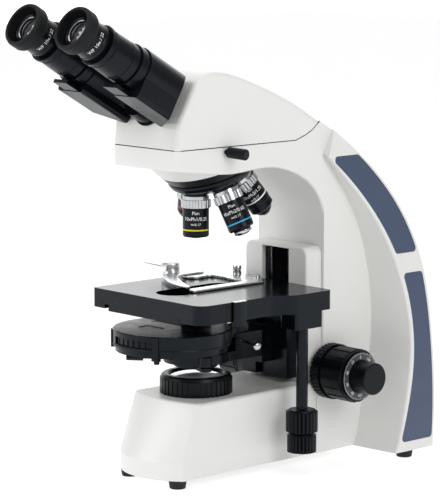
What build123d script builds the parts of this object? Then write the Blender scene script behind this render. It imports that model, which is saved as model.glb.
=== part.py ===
from build123d import *
import math
import os

# Binocular laboratory microscope.
# Frame: x to the user's right, y away from the user, z up, in millimetres.
# The origin is the foot of the optical axis on the bench.

# Clearances
running_fit = 0.05          # shaft in its bush, radial
seam = 0.3                  # parting line between two covers
slide_gap = 0.3             # between a slider and its guide

# Stand
half_width = 44             # base, arm, beam and head
foot_height = 8
foot_radius = 8.4
base_top = 76
base_corner_y = -54         # front corners of the base, at the bench
base_nose_y = -72           # middle of the bowed front
base_band_top = 24          # the front is upright up to here, then leans back
base_top_corner_y = -36
base_top_nose_y = -45
base_rear_y = 172
corner_round = 5            # upright front corners of base, beam and head
arm_front_y = 120
wall = 5
base_recess = 1.2
hollow_width = 2 * half_width - 22
hollow_length = 180
hollow_y = 55
cover_half_width = half_width - 3

# Wings at the back of the arm
wing_foot_half_width = 96
wing_top = 312
wing_taper = 46
wing_taper_power = 1.7
wing_bow = 5
inlay_depth = 1.6
inlay_gap = 0.2
inlay_margin = 3.6
inlay_corner = 4
inlay_spans = ((17, 174), (192.5, 287))

# Beam and head
beam_underside = 280
beam_nose_y = -61
head_seam = 304.5
head_top = 371
head_tilt = 30              # eyetubes above the horizontal
hinge_y = -52.3             # hinge axis of the eyetubes on the head's face
hinge_z = 338.8
lock_neck_radius = 2
lock_grip_radius = 5
lock_grip_length = 19

# Binocular tubes, measured along the tilted tube direction from the head face
pupil_distance = 68         # between the eyepieces as set
hinge_to_tube = 35
hub_radius = 17.5
hub_length = 1.7
hinge_pin_radius = 5
hinge_arm = 8               # thickness of one hinge arm
hinge_arm_radius = 16
hinge_cap_radius = 11
hinge_cap = 3
housing_start = 2
housing_end = 63
housing_radius = 21.5
neck_end = 72.5             # round neck in front of the housing
neck_radius = 20.3
housing_bevel = 33.7        # slope of the rear outer face, behind the inner prism
housing_bevel_start = 7.7   # its distance from the head face at the eyetube axis
housing_outer = 20.5        # flat flanks and underside, from the eyetube axis
housing_inner = 14
housing_drop = 25.7
housing_corner = 4
keel_half_width = 9
keel_depth = 25.2           # from the eyetube axis
keel_thickness = 3.2
keel_end = 79
barrel_radius = 15
eyetube_wall = 1.35
eyetube_end = 109.5
diopter_radius = 18.75
eyepiece_start = 112
eyepiece_radius = 16.5
cup_start = 128.5
cup_end = 141.5
cup_radius = 20.5
cup_inner_radius = 16.2
lens_rim_radius = 11

# Nosepiece and objectives
nose_tilt = 20.5            # turret axis from the optical axis
parfocal_shoulder = 257.2   # height of the objective shoulder in use
apex_to_shoulder = 67.5     # from the point where all objective axes meet
turret_radius = 40
turret_rim_top = 15
stations = 5
thread_radius = 10.16
objective_radius = 12
collar_radius = 13.5
ring_length = 4
collar_length = 7

seat_flare = 32
nose_pin_radius = 4
nose_pin_length = 8
light_path_radius = 9

# Focus drive
knob_axis_y = 126.5
knob_axis_z = 85.5
coarse_radius = 25
coarse_start = half_width + 13
coarse_end = coarse_start + 27.5
fine_radius = 14.8
fine_end = coarse_end + 20.5
dial_radius = 22.4
tension_radius = 26
fine_shaft_radius = 3
coarse_shaft_radius = 5
bush_radius = 6.3
gear_module = 0.6
pinion_teeth = 20
tooth_backlash = 0.15
rack_half_width = 5
guide_half_width = 12       # slider in the guide
bush_reach = 21             # into the arm
carriage_front_y = 86
cover_front_y = 100
cover_top = 203
window_half_width = 18
window_top = cover_top - 3
channel_back_y = 134

# Stage
stage_top_z = 170
stage_thickness = 13.6
stage_skirt = 17.6
stage_left = 75
stage_right = 72
stage_right_rear = 83
stage_front_y = -59
stage_rear_y = 92
stage_corner = 12
plate_bottom = 150
plate_thickness = 6
column_x = 70
column_y = 67
column_radius = 5.4
column_top = 136.7
shaft_tube_radius = 3.5
shaft_core_radius = 2
upper_knob_top = 61
upper_knob_bottom = 38
lower_knob_bottom = 19
holder_arm = 2.4
holder_bar = 5.5
finger_pivot = (-62, 60)

# Condenser and field lens
drum_y = -29
drum_radius = 54
drum_top = 139.5
drum_step = 125
drum_bottom = 119.5
barrel_bottom = 104
condenser_barrel_radius = 22
field_ring_radius = 33.3
field_ring_top = 94
lens_seat = 84
lens_curve_radius = 60
lamp_tube_radius = 24.2
inlet_bore_radius = 2.8
inlet_bore_depth = 11
inlet_body_radius = 4.5
inlet_body_length = 12
dimmer_shaft_radius = 3
dimmer_shaft_length = 6
filter_pivot = (28, -14)
tray_z = 100.5
filter_radius = 16.5
filter_ledge_radius = 14.5
ring_bottom = 105           # ring of the carrier round the condenser barrel
ring_height = 8.5
lever_ring_z = 114
disc_bottom = 128           # phase disc inside the drum
disc_thickness = 6.5
disc_radius = 52.2
lens_top_z = 159.5
screw_radius = 1.5          # centring screws
screw_length = 40.5
condenser_slide_half = 11.5
condenser_knob_radius = 10.5

os.makedirs("parts", exist_ok=True)
middle = (Align.CENTER, Align.CENTER)


def save(builder, name):
    """Label one finished piece and write it under its own name."""
    builder.part.label = name
    export_step(builder.part, f"parts/{name}.step")


def fluted_disc(radius, flutes, depth, width):
    """Outline of a grip: a circle with straight grooves cut round it."""
    Circle(radius)
    with PolarLocations(radius, flutes):
        Rectangle(2 * depth, width, mode=Mode.SUBTRACT)


def sweep_back(z, deepest, level, above, below):
    """y of a wing edge that lies deepest at one level and curves forward above and below it."""
    reach, drop, power = above if z > level else below
    return deepest - drop * (abs(z - level) / reach) ** power


def crease_y(z):
    return sweep_back(z, 181.5, 120, (163, 52.5, 2.1), (111.5, 21.5, 1.3))


def wing_front_y(z):
    return sweep_back(z, 193.5, 117, (168.5, 77.5, 2.3), (105, 27, 1.5))


def wing_rear_y(z):
    return sweep_back(z, 223, 130, (181, 93, 2.6), (122, 6, 2.0))


def wing_half_width(z):
    return wing_foot_half_width - wing_taper * ((z - foot_height) / 292) ** wing_taper_power


# Castings of the stand: bowed base, arm with its two flared wings, and beam
nose_sin = math.sin(math.radians(nose_tilt))
nose_cos = math.cos(math.radians(nose_tilt))
apex_z = parfocal_shoulder + apex_to_shoulder
turret_offset = apex_to_shoulder * nose_cos
nose_plane = Plane(
    origin=(0, turret_offset * nose_sin, apex_z - turret_offset * nose_cos),
    x_dir=(1, 0, 0),
    z_dir=(0, -nose_sin, nose_cos),
)
nose_recess_radius = turret_radius + 1.5
nose_recess_top = turret_rim_top + 0.8
dovetail_radius = 22
dovetail_depth = 5
knob_plane = Plane(origin=(0, knob_axis_y, knob_axis_z), x_dir=(0, 1, 0), z_dir=(1, 0, 0))
nose_section = Plane(origin=nose_plane.origin, x_dir=(1, 0, 0), z_dir=(0, -nose_cos, -nose_sin))
lock_plane = Plane(origin=(dovetail_radius, -8, 301.2), x_dir=(-0.21, 1, 0), z_dir=(1, 0.21, -0.06))
dimmer_plane = Plane(
    origin=(-half_width + base_recess - seam, 20, 42), x_dir=(0, -1, 0), z_dir=(-1, 0, 0)
)
inlet_plane = Plane(
    origin=(0, wing_rear_y(34) + wing_bow + 0.4, 34), x_dir=(1, 0, 0), z_dir=(0, 1, 0)
)
front_foot = (33, -52)
rear_foot = (84, 189)

# Parting line at the back of the head: level over the beam, then rising to the top curve
head_parting = [(113.5, 320), (104, 312.9), (95, 308.5), (83, head_seam)]
stand_parting = [(y + 0.2, z - seam) for y, z in head_parting[:-1]] + [(83, head_seam - seam)]

with BuildPart() as castings:
    # Wings and back, lofted through level sections
    wing_levels = [foot_height + (wing_top - foot_height) * n / 8 for n in range(9)]
    for level in wing_levels:
        with BuildSketch(Plane.XY.offset(level)):
            side = wing_half_width(level)
            with BuildLine():
                Polyline(
                    (-side, wing_rear_y(level)),
                    (-side, wing_front_y(level)),
                    (12 - half_width, crease_y(level)),
                    (half_width - 12, crease_y(level)),
                    (side, wing_front_y(level)),
                    (side, wing_rear_y(level)),
                )
                ThreePointArc(
                    (side, wing_rear_y(level)),
                    (0, wing_rear_y(level) + wing_bow),
                    (-side, wing_rear_y(level)),
                )
            make_face()
    loft()
    # The wing tops end on a slope that follows the head's parting line
    with BuildSketch(Plane.YZ):
        with BuildLine():
            Polyline((116, 285.5), (131, 313), (60, 330), (60, 200), (77, 214.5), close=True)
        make_face()
    extrude(amount=wing_foot_half_width, both=True, mode=Mode.SUBTRACT)
    # Arm and beam, one side view drawn out to both sides
    with BuildSketch(Plane.YZ):
        with BuildLine():
            Polyline(
                (arm_front_y, 232),
                (arm_front_y, foot_height + wall),
                (base_rear_y, foot_height + wall),
                (192, 70),
                (192, 130),
                (186, 180),
                (165, 230),
                (140, 285),
                (129.5, 310.5),
            )
            Spline((129.5, 310.5), (121.5, 315.8), stand_parting[0])
            Spline(*stand_parting)
            Polyline(
                (83, head_seam - seam),
                (beam_nose_y, head_seam - seam),
                (beam_nose_y, 286),
            )
            Spline(
                (beam_nose_y, 286),
                (-30, 282),
                (10, 279.2),
                (49, 281.5),
                (80, 275),
                (103, 262),
                (arm_front_y, 232),
            )
        make_face()
    extrude(amount=half_width, both=True)
    # Base: upright band at the bench, then a front that leans back to the lamp deck
    base_outlines = (
        (foot_height, base_corner_y, base_nose_y),
        (base_band_top, base_corner_y, base_nose_y),
        (base_top, base_top_corner_y, base_top_nose_y),
    )
    for lower, upper in (base_outlines[:2], base_outlines[1:]):
        for level, corner_y, nose_y in (lower, upper):
            with BuildSketch(Plane.XY.offset(level)):
                with BuildLine():
                    Polyline(
                        (half_width, corner_y),
                        (half_width, base_rear_y),
                        (-half_width, base_rear_y),
                        (-half_width, corner_y),
                    )
                    ThreePointArc((-half_width, corner_y), (0, nose_y), (half_width, corner_y))
                make_face()
        loft()
    # Rounded corners and edges of the castings
    front_corners = [
        edge for edge in castings.edges()
        if abs(edge.center().Y - base_corner_y) < 16 and abs(edge.center().X) > half_width - 1
    ]
    fillet(front_corners, corner_round)
    deck_edges = [
        edge for edge in castings.edges()
        if abs(edge.center().Z - base_top) < 0.2 and edge.center().Y < 80 and edge.length > 30
    ]
    fillet(deck_edges, 3)
    beam_edges = [
        edge for edge in castings.edges()
        if abs(edge.center().X) > half_width - 1 and 0 < edge.center().Y < 80
        and 260 < edge.center().Z < head_seam - 5 and edge.length > 150
    ]
    fillet(beam_edges, 2.5)
    wing_edges = [edge for edge in castings.edges() if edge.length > 290 and abs(edge.center().X) > 60]
    fillet(wing_edges, 2.5)
    # Shallow stepped recess along both sides of the base
    for side in (-1, 1):
        with BuildSketch(Plane.YZ.offset(side * half_width)):
            with BuildLine():
                Spline((-50.6, foot_height), (-36, 39.7), (-27.8, 51.9), (-14.5, 59))
                Polyline((-14.5, 59), (112, 62), (112, foot_height), (-50.6, foot_height))
            make_face()
        extrude(amount=base_recess * -side, mode=Mode.SUBTRACT)
    # Hollow under the base, closed by the base plate, with the plate's rebate
    with BuildSketch(Plane.XY.offset(foot_height)):
        with Locations((0, hollow_y)):
            RectangleRounded(hollow_width + 8, hollow_length + 8, 4)
    extrude(amount=1.8, mode=Mode.SUBTRACT)
    with BuildSketch(Plane.XY.offset(foot_height)):
        with Locations((0, hollow_y)):
            RectangleRounded(hollow_width, hollow_length, 4)
    extrude(amount=base_top - 6 - foot_height, mode=Mode.SUBTRACT)
    # Hollow inside the arm and the back, joined to the one in the base
    hollow_levels = (14, 60, 110, 160, 210, 250)
    with BuildSketch(Plane.YZ):
        with BuildLine():
            Spline(*[(wing_rear_y(level) - 2 * wall, level) for level in hollow_levels])
            Polyline(
                (wing_rear_y(hollow_levels[-1]) - 2 * wall, hollow_levels[-1]),
                (channel_back_y + 2 * wall, hollow_levels[-1] - 8),
                (channel_back_y + wall, hollow_levels[-1] - 20),
                (channel_back_y + wall, hollow_levels[0]),
                (wing_rear_y(hollow_levels[0]) - 2 * wall, hollow_levels[0]),
            )
        make_face()
    extrude(amount=half_width - wall, both=True, mode=Mode.SUBTRACT)
    # Lamp well in the deck
    with Locations((0, 0, base_top)):
        Hole(radius=lamp_tube_radius + running_fit, depth=20)
    # Focus channel behind the guide cover, and its pit for the rack
    with BuildSketch(Plane.XY.offset(base_top)):
        with Locations((0, (arm_front_y + channel_back_y) / 2)):
            Rectangle(44, channel_back_y - arm_front_y + 0.02)
    extrude(amount=window_top - base_top, mode=Mode.SUBTRACT)
    with BuildSketch(Plane.XY.offset(base_top - 10)):
        with Locations((0, (110 + channel_back_y) / 2)):
            Rectangle(16, channel_back_y - 110)
    extrude(amount=12, mode=Mode.SUBTRACT)
    # Cross bore for the focus bushes
    with BuildSketch(knob_plane):
        Circle(bush_radius + running_fit)
    extrude(amount=half_width + 1, both=True, mode=Mode.SUBTRACT)
    # Recess for the turret, and the socket of the head
    with BuildSketch(nose_plane.offset(-10)):
        Circle(nose_recess_radius)
    extrude(amount=nose_recess_top + 10, mode=Mode.SUBTRACT)
    with BuildSketch(Plane.XY.offset(head_seam - seam - dovetail_depth)):
        Circle(dovetail_radius + running_fit)
    extrude(amount=dovetail_depth + 1, mode=Mode.SUBTRACT)
    # Light path from the nosepiece to the head
    with BuildSketch(Plane.XY.offset(beam_underside - 20)):
        Circle(light_path_radius)
    extrude(amount=head_seam - beam_underside + 20, mode=Mode.SUBTRACT)
    with BuildSketch(nose_plane.offset(turret_rim_top)):
        Circle(nose_pin_radius + running_fit)
    extrude(amount=nose_pin_length + 1, mode=Mode.SUBTRACT)
    # Threaded hole of the head lock screw
    with BuildSketch(lock_plane):
        Circle(lock_neck_radius + running_fit)
    extrude(amount=half_width, mode=Mode.SUBTRACT)
    # Sockets for the dimmer's shaft and the power inlet
    with BuildSketch(dimmer_plane):
        Circle(dimmer_shaft_radius + running_fit)
    extrude(amount=-dimmer_shaft_length - 1, mode=Mode.SUBTRACT)
    with BuildSketch(inlet_plane):
        Circle(inlet_body_radius + running_fit)
    extrude(amount=-inlet_body_length - 1, mode=Mode.SUBTRACT)


def inlay(side, bottom, top, shrink, outer, inner):
    """One inlay, or the pocket it is glued into, on one side of the stand.

    Its side view keeps an even margin inside the wing's own edges, and its thickness
    lies between two offsets of the wing's curved outer face.
    """
    heights = [bottom + shrink + (top - bottom - 2 * shrink) * n / 4 for n in range(5)]
    edge = inlay_margin + shrink
    front = [(wing_front_y(z) + edge, z) for z in heights]
    rear = [(wing_rear_y(z) - edge, z) for z in reversed(heights)]
    outside = [(side * (wing_half_width(z) - outer), z) for z in wing_levels]
    inside = [(side * (wing_half_width(z) - inner), z) for z in reversed(wing_levels)]
    with BuildPart() as panel:
        with BuildSketch(Plane.YZ):
            with BuildLine():
                Spline(*front)
                Line(front[-1], rear[0])
                Spline(*rear)
                Line(rear[-1], front[0])
            make_face()
            fillet(vertices(), inlay_corner)
        extrude(amount=side * (wing_foot_half_width + 5))
        with BuildSketch(Plane.XZ.offset(-240)):
            with BuildLine():
                Spline(*outside)
                Line(outside[-1], inside[0])
                Spline(*inside)
                Line(inside[-1], outside[0])
            make_face()
        extrude(amount=240, mode=Mode.INTERSECT)
    return panel.part


with castings:
    for wing_side in (-1, 1):
        for inlay_bottom, inlay_top in inlay_spans:
            add(
                inlay(wing_side, inlay_bottom, inlay_top, 0, -5, inlay_depth + inlay_gap),
                mode=Mode.SUBTRACT,
            )

# The base and the beam bolt to the front of the arm; the wings are one with the arm
casting_depth = 400
casting_joint_y = arm_front_y - 3.5
for piece_name, low_y, low_z in (
    ("base_casting", casting_joint_y - casting_depth, base_top - casting_depth),
    ("beam_casting", casting_joint_y - casting_depth, base_top),
    ("arm_casting", casting_joint_y, 0),
):
    with BuildPart() as casting:
        add(castings.part)
        with Locations((0, low_y, low_z)):
            Box(
                casting_depth, casting_depth, casting_depth,
                align=(Align.CENTER, Align.MIN, Align.MIN),
                mode=Mode.INTERSECT,
            )
    save(casting, piece_name)

with BuildPart() as inlay_panels:
    for wing_side in (-1, 1):
        for inlay_bottom, inlay_top in inlay_spans:
            add(inlay(wing_side, inlay_bottom, inlay_top, inlay_gap, inlay_gap, inlay_depth))
save(inlay_panels, "inlay_panels")

# Sheet steel plate under the hollow of the base, with holes for its four screws
plate_screws = [
    (side * (hollow_width / 2 + 1), hollow_y + end * (hollow_length / 2 - 4))
    for side in (-1, 1)
    for end in (-1, 1)
]
with BuildPart() as base_plate:
    with BuildSketch(Plane.XY.offset(foot_height + 0.2)):
        with Locations((0, hollow_y)):
            RectangleRounded(hollow_width + 8 - 2 * seam, hollow_length + 8 - 2 * seam, 4)
        with Locations(*plate_screws):
            Circle(1.6, mode=Mode.SUBTRACT)
        with Locations((0, 20), (0, 40), (0, 60)):
            SlotOverall(36, 4, mode=Mode.SUBTRACT)
    extrude(amount=1.6)
save(base_plate, "base_plate")

with BuildPart() as rubber_feet:
    with Locations(*[(x * side, y, 0) for x, y in (front_foot, rear_foot) for side in (-1, 1)]):
        Cone(
            bottom_radius=foot_radius - 1.2,
            top_radius=foot_radius,
            height=foot_height,
            align=(Align.CENTER, Align.CENTER, Align.MIN),
        )
    fillet(edges().group_by(Axis.Z)[0], 1)
save(rubber_feet, "rubber_feet")

# White skirt that carries the turret, flared up into the beam
with BuildPart() as nosepiece_seat:
    with BuildSketch(nose_plane.offset(nose_recess_top)):
        Circle(turret_radius + 0.8)
    extrude(amount=25, taper=-seat_flare)
    with Locations((0, 0, beam_underside + 6)):
        Box(
            2 * half_width - 0.6, 200, 60,
            align=(Align.CENTER, Align.CENTER, Align.MAX),
            mode=Mode.INTERSECT,
        )
    add(castings.part, mode=Mode.SUBTRACT)
    with BuildSketch(Plane.XY.offset(beam_underside - 40)):
        Circle(light_path_radius)
    extrude(amount=60, mode=Mode.SUBTRACT)
    with BuildSketch(nose_plane.offset(turret_rim_top)):
        Circle(nose_pin_radius + running_fit)
    extrude(amount=10, mode=Mode.SUBTRACT)
save(nosepiece_seat, "nosepiece_seat")

# Guide: white cover with its window, and the two rails behind it
with BuildPart() as guide_cover:
    with BuildSketch(Plane.XZ.offset(-arm_front_y + seam)):
        with Locations((0, (base_top + seam + cover_top) / 2)):
            Rectangle(2 * cover_half_width, cover_top - base_top - seam)
        fillet(vertices().group_by(Axis.Y)[-1], 8)
        with Locations((0, (base_top + window_top) / 2 - 1)):
            Rectangle(2 * window_half_width, window_top - base_top + 2, mode=Mode.SUBTRACT)
    extrude(amount=arm_front_y - seam - cover_front_y)
    for side in (-1, 1):
        with BuildSketch(Plane.XY.offset(base_top)):
            with Locations((side * (window_half_width + cover_half_width) / 2, cover_front_y + 3 + 10)):
                Rectangle(cover_half_width - window_half_width - 6, 20)
        extrude(amount=cover_top - base_top - 8, mode=Mode.SUBTRACT)
    front_corners = guide_cover.edges().filter_by(Axis.Z).group_by(Axis.Y)[0].sort_by(Axis.X)
    fillet([front_corners[0], front_corners[-1]], 2)
save(guide_cover, "guide_cover")

rail_inner = guide_half_width + slide_gap
rail_outer = 17
with BuildPart() as guide_rails:
    with BuildSketch(Plane.XY.offset(base_top + 2)):
        for side in (-1, 1):
            with Locations((side * (rail_inner + rail_outer) / 2, (104 + channel_back_y) / 2)):
                Rectangle(rail_outer - rail_inner, channel_back_y - 104)
            with Locations((side * (rail_outer + 21) / 2, channel_back_y - 3)):
                Rectangle(21 - rail_outer, 6)
    extrude(amount=window_top - base_top - 4)
    with BuildSketch(knob_plane):
        Circle(bush_radius + 1)
    extrude(amount=half_width, both=True, mode=Mode.SUBTRACT)
save(guide_rails, "guide_rails")

# Lamp under the deck: heat sink with its lamp, tube, collector lens and dimmer
with BuildPart() as lamp_module:
    with BuildSketch(Plane.XY.offset(foot_height + 1.8 + seam)):
        Circle(21)
        with PolarLocations(21, 16):
            Rectangle(12, 2.4, mode=Mode.SUBTRACT)
    extrude(amount=22)
    with BuildSketch(Plane.XY.offset(foot_height + 23.8 + seam)):
        Circle(21)
    extrude(amount=4)
    with BuildSketch(Plane.XY.offset(foot_height + 27.8 + seam)):
        Circle(5)
    extrude(amount=3)
save(lamp_module, "lamp_module")

lamp_tube_bottom = foot_height + 27.8 + seam
with BuildPart() as lamp_housing:
    with BuildSketch(Plane.XZ):
        with BuildLine():
            Polyline(
                (20, lamp_tube_bottom),
                (lamp_tube_radius, lamp_tube_bottom),
                (lamp_tube_radius, lens_seat + 4),
                (21.5, lens_seat + 6),
                (20.4, lens_seat + 5),
                (20.4, lens_seat),
                (18.5, lens_seat),
                (18.5, lens_seat - 4),
                (20, lens_seat - 4),
                close=True,
            )
        make_face()
    revolve(axis=Axis.Z)
save(lamp_housing, "lamp_housing")

with BuildPart() as field_lens:
    with Locations((0, 0, lens_seat)):
        Cylinder(20.3, 6, align=(Align.CENTER, Align.CENTER, Align.MIN))
    with Locations((0, 0, lens_seat + 5 - lens_curve_radius)):
        Sphere(lens_curve_radius, mode=Mode.INTERSECT)
save(field_lens, "field_lens")

with BuildPart() as field_ring:
    with BuildSketch(Plane.XY.offset(base_top + seam)):
        fluted_disc(field_ring_radius, 40, 0.7, 1.6)
        Circle(lamp_tube_radius + seam, mode=Mode.SUBTRACT)
    extrude(amount=field_ring_top - 4 - base_top - seam)
    with BuildSketch(Plane.XZ):
        with BuildLine():
            Polyline(
                (lamp_tube_radius + seam, field_ring_top - 4),
                (field_ring_radius - 0.7, field_ring_top - 4),
                (field_ring_radius - 1.6, field_ring_top - 1.2),
                (field_ring_radius - 3.5, field_ring_top),
                (lamp_tube_radius + 2, field_ring_top),
                (lamp_tube_radius + seam, field_ring_top - 2),
                close=True,
            )
        make_face()
    revolve(axis=Axis.Z)
save(field_ring, "field_ring")

with BuildPart() as brightness_knob:
    with BuildSketch(dimmer_plane):
        Circle(13)
    extrude(amount=2.5)
    with BuildSketch(dimmer_plane.offset(2.5)):
        fluted_disc(11.5, 18, 0.6, 1.6)
    extrude(amount=9)
    with BuildSketch(dimmer_plane):
        Circle(dimmer_shaft_radius)
    extrude(amount=-dimmer_shaft_length)
save(brightness_knob, "brightness_knob")

with BuildPart() as power_inlet:
    with BuildSketch(inlet_plane):
        Circle(6.5)
    extrude(amount=2.5)
    with BuildSketch(inlet_plane):
        Circle(inlet_body_radius)
    extrude(amount=-inlet_body_length)
    with BuildSketch(inlet_plane.offset(2.5)):
        Circle(inlet_bore_radius)
    extrude(amount=-inlet_bore_depth, mode=Mode.SUBTRACT)
save(power_inlet, "power_inlet")

# Head: white housing over the beam, with its dovetail foot and lock screw
tilt_cos = math.cos(math.radians(head_tilt))
tilt_sin = math.sin(math.radians(head_tilt))
hinge_drop = math.sqrt(hinge_to_tube**2 - (pupil_distance / 2) ** 2)
head_plane = Plane(
    origin=(0, hinge_y, hinge_z), x_dir=(1, 0, 0), z_dir=(0, -tilt_cos, tilt_sin)
)
with BuildPart() as head_housing:
    with BuildSketch(Plane.YZ):
        with BuildLine():
            Polyline(
                (83, head_seam),
                (beam_nose_y, head_seam),
                (-58.6, hinge_z - (58.6 + hinge_y) * tilt_cos / tilt_sin),
                (-37.5, hinge_z + (37.5 + hinge_y) * -tilt_cos / tilt_sin),
            )
            Spline(
                (-37.5, hinge_z + (37.5 + hinge_y) * -tilt_cos / tilt_sin),
                (-22, head_top),
                (0, 369.6),
                (32, 359.5),
                (63, 347),
                (89, 334.5),
                head_parting[0],
            )
            Spline(*head_parting)
        make_face()
    extrude(amount=half_width, both=True)
    head_corners = [
        edge for edge in head_housing.edges()
        if abs(edge.center().X) > half_width - 1 and edge.center().Y < -40
    ]
    fillet(head_corners, corner_round)
    top_edges = [
        edge for edge in head_housing.edges()
        if abs(edge.center().X) > half_width - 1 and edge.length > 120 and edge.center().Z > head_seam + 10
    ]
    fillet(top_edges, 4)
    with BuildSketch(Plane.XY.offset(head_seam + 5)):
        Rectangle(76, 84)
    extrude(amount=26, mode=Mode.SUBTRACT)
    with BuildSketch(Plane.XY.offset(head_seam - dovetail_depth)):
        Circle(dovetail_radius)
    extrude(amount=dovetail_depth)
    with BuildSketch(Plane.XY.offset(head_seam - dovetail_depth)):
        Circle(12)
    extrude(amount=dovetail_depth + 6, mode=Mode.SUBTRACT)
save(head_housing, "head_housing")

# Lock screw of the head: a thin neck and a plastic grip
with BuildPart() as head_lock_screw:
    with BuildSketch(lock_plane):
        Circle(lock_neck_radius)
    extrude(amount=half_width + 4 - dovetail_radius)
    with BuildSketch(lock_plane.offset(half_width + 2.5 - dovetail_radius)):
        Circle(3.2)
    extrude(amount=1.5)
    with BuildSketch(lock_plane.offset(half_width + 4 - dovetail_radius)):
        Circle(lock_grip_radius)
    extrude(amount=lock_grip_length)
    fillet(edges().group_by(Axis.X)[-1], 1.2)
save(head_lock_screw, "head_lock_screw")

# Fixed hub of the two hinged tubes: boss, pin and end cap
hinge_gap = 0.3
arms_end = hub_length + 2 * (hinge_arm + hinge_gap) + hinge_gap
with BuildPart() as binocular_hub:
    with BuildSketch(head_plane):
        Circle(hub_radius)
    extrude(amount=hub_length)
    with BuildSketch(head_plane.offset(hub_length)):
        Circle(hinge_pin_radius)
    extrude(amount=arms_end - hub_length)
    with BuildSketch(head_plane.offset(arms_end)):
        Circle(hinge_cap_radius)
    extrude(amount=hinge_cap)
save(binocular_hub, "binocular_hub")


def tube_centre(side):
    """Eyetube centre in the plane of the hinge."""
    return (side * pupil_distance / 2, hinge_drop)


def prism_housing(side):
    """One swinging prism housing with its keel, its bevelled back and its hinge arm.

    The two arms lie one behind the other, so each housing clears the other one's arm.
    """
    cx, cy = tube_centre(side)
    own_arm = hub_length + hinge_gap + (hinge_arm + hinge_gap if side > 0 else 0)
    other_arm = hub_length + hinge_gap + (0 if side > 0 else hinge_arm + hinge_gap)
    with BuildPart() as housing:
        with BuildSketch(head_plane.offset(housing_start)):
            with Locations((cx, cy)):
                Circle(housing_radius)
            with Locations((cx + side * (housing_outer - housing_inner) / 2, cy)):
                with Locations((0, -housing_drop / 2)):
                    Rectangle(housing_outer + housing_inner, housing_drop)
            fillet(vertices().group_by(Axis.Y)[0], housing_corner)
        extrude(amount=housing_end - housing_start)
        with BuildSketch(head_plane.offset(housing_end)):
            with Locations((cx, cy - keel_depth + keel_thickness / 2)):
                Rectangle(2 * keel_half_width, keel_thickness)
        extrude(amount=keel_end - housing_end)
        with BuildSketch(head_plane.offset(housing_end)):
            with Locations((cx, cy)):
                Circle(neck_radius)
        extrude(amount=neck_end - housing_end)
        # The back slopes away outwards, behind the inner prism
        bevel_point = head_plane.from_local_coords(Vector(cx, cy, housing_bevel_start))
        slope = math.radians(housing_bevel)
        bevel_normal = head_plane.x_dir * (side * math.sin(slope)) - head_plane.z_dir * math.cos(slope)
        with BuildSketch(Plane(origin=bevel_point, x_dir=head_plane.y_dir, z_dir=bevel_normal)):
            Rectangle(80, 120)
        extrude(amount=40, mode=Mode.SUBTRACT)
        with BuildSketch(head_plane.offset(other_arm - hinge_gap)):
            Circle(hinge_arm_radius + hinge_gap)
        extrude(amount=hinge_arm + 2 * hinge_gap, mode=Mode.SUBTRACT)
        with BuildSketch(head_plane.offset(arms_end - hinge_gap)):
            Circle(hinge_cap_radius + hinge_gap)
        extrude(amount=hinge_cap + 2 * hinge_gap, mode=Mode.SUBTRACT)
        with BuildSketch(head_plane.offset(own_arm)):
            Circle(hinge_arm_radius)
        extrude(amount=hinge_arm)
        with BuildSketch(head_plane):
            Circle(hinge_pin_radius + running_fit)
        extrude(amount=arms_end + 5, mode=Mode.SUBTRACT)
        with BuildSketch(head_plane.offset(neck_end)):
            with Locations((cx, cy)):
                Circle(11)
        extrude(amount=-20, mode=Mode.SUBTRACT)
        with BuildSketch(head_plane):
            with Locations((cx, cy)):
                Rectangle(90, 90)
        extrude(amount=-20, mode=Mode.SUBTRACT)
    return housing


def turned(side, profile):
    """Solid of revolution about one eyetube; profile holds (radius, distance) corners."""
    cx, cy = tube_centre(side)
    axis_origin = head_plane.from_local_coords(Vector(cx, cy, 0))
    section = Plane(origin=axis_origin, x_dir=(1, 0, 0), z_dir=Vector(1, 0, 0).cross(head_plane.z_dir))
    with BuildPart() as piece:
        with BuildSketch(section):
            with BuildLine():
                Polyline(*profile, close=True)
            make_face()
        revolve(axis=Axis(axis_origin, head_plane.z_dir))
    return piece


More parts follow.
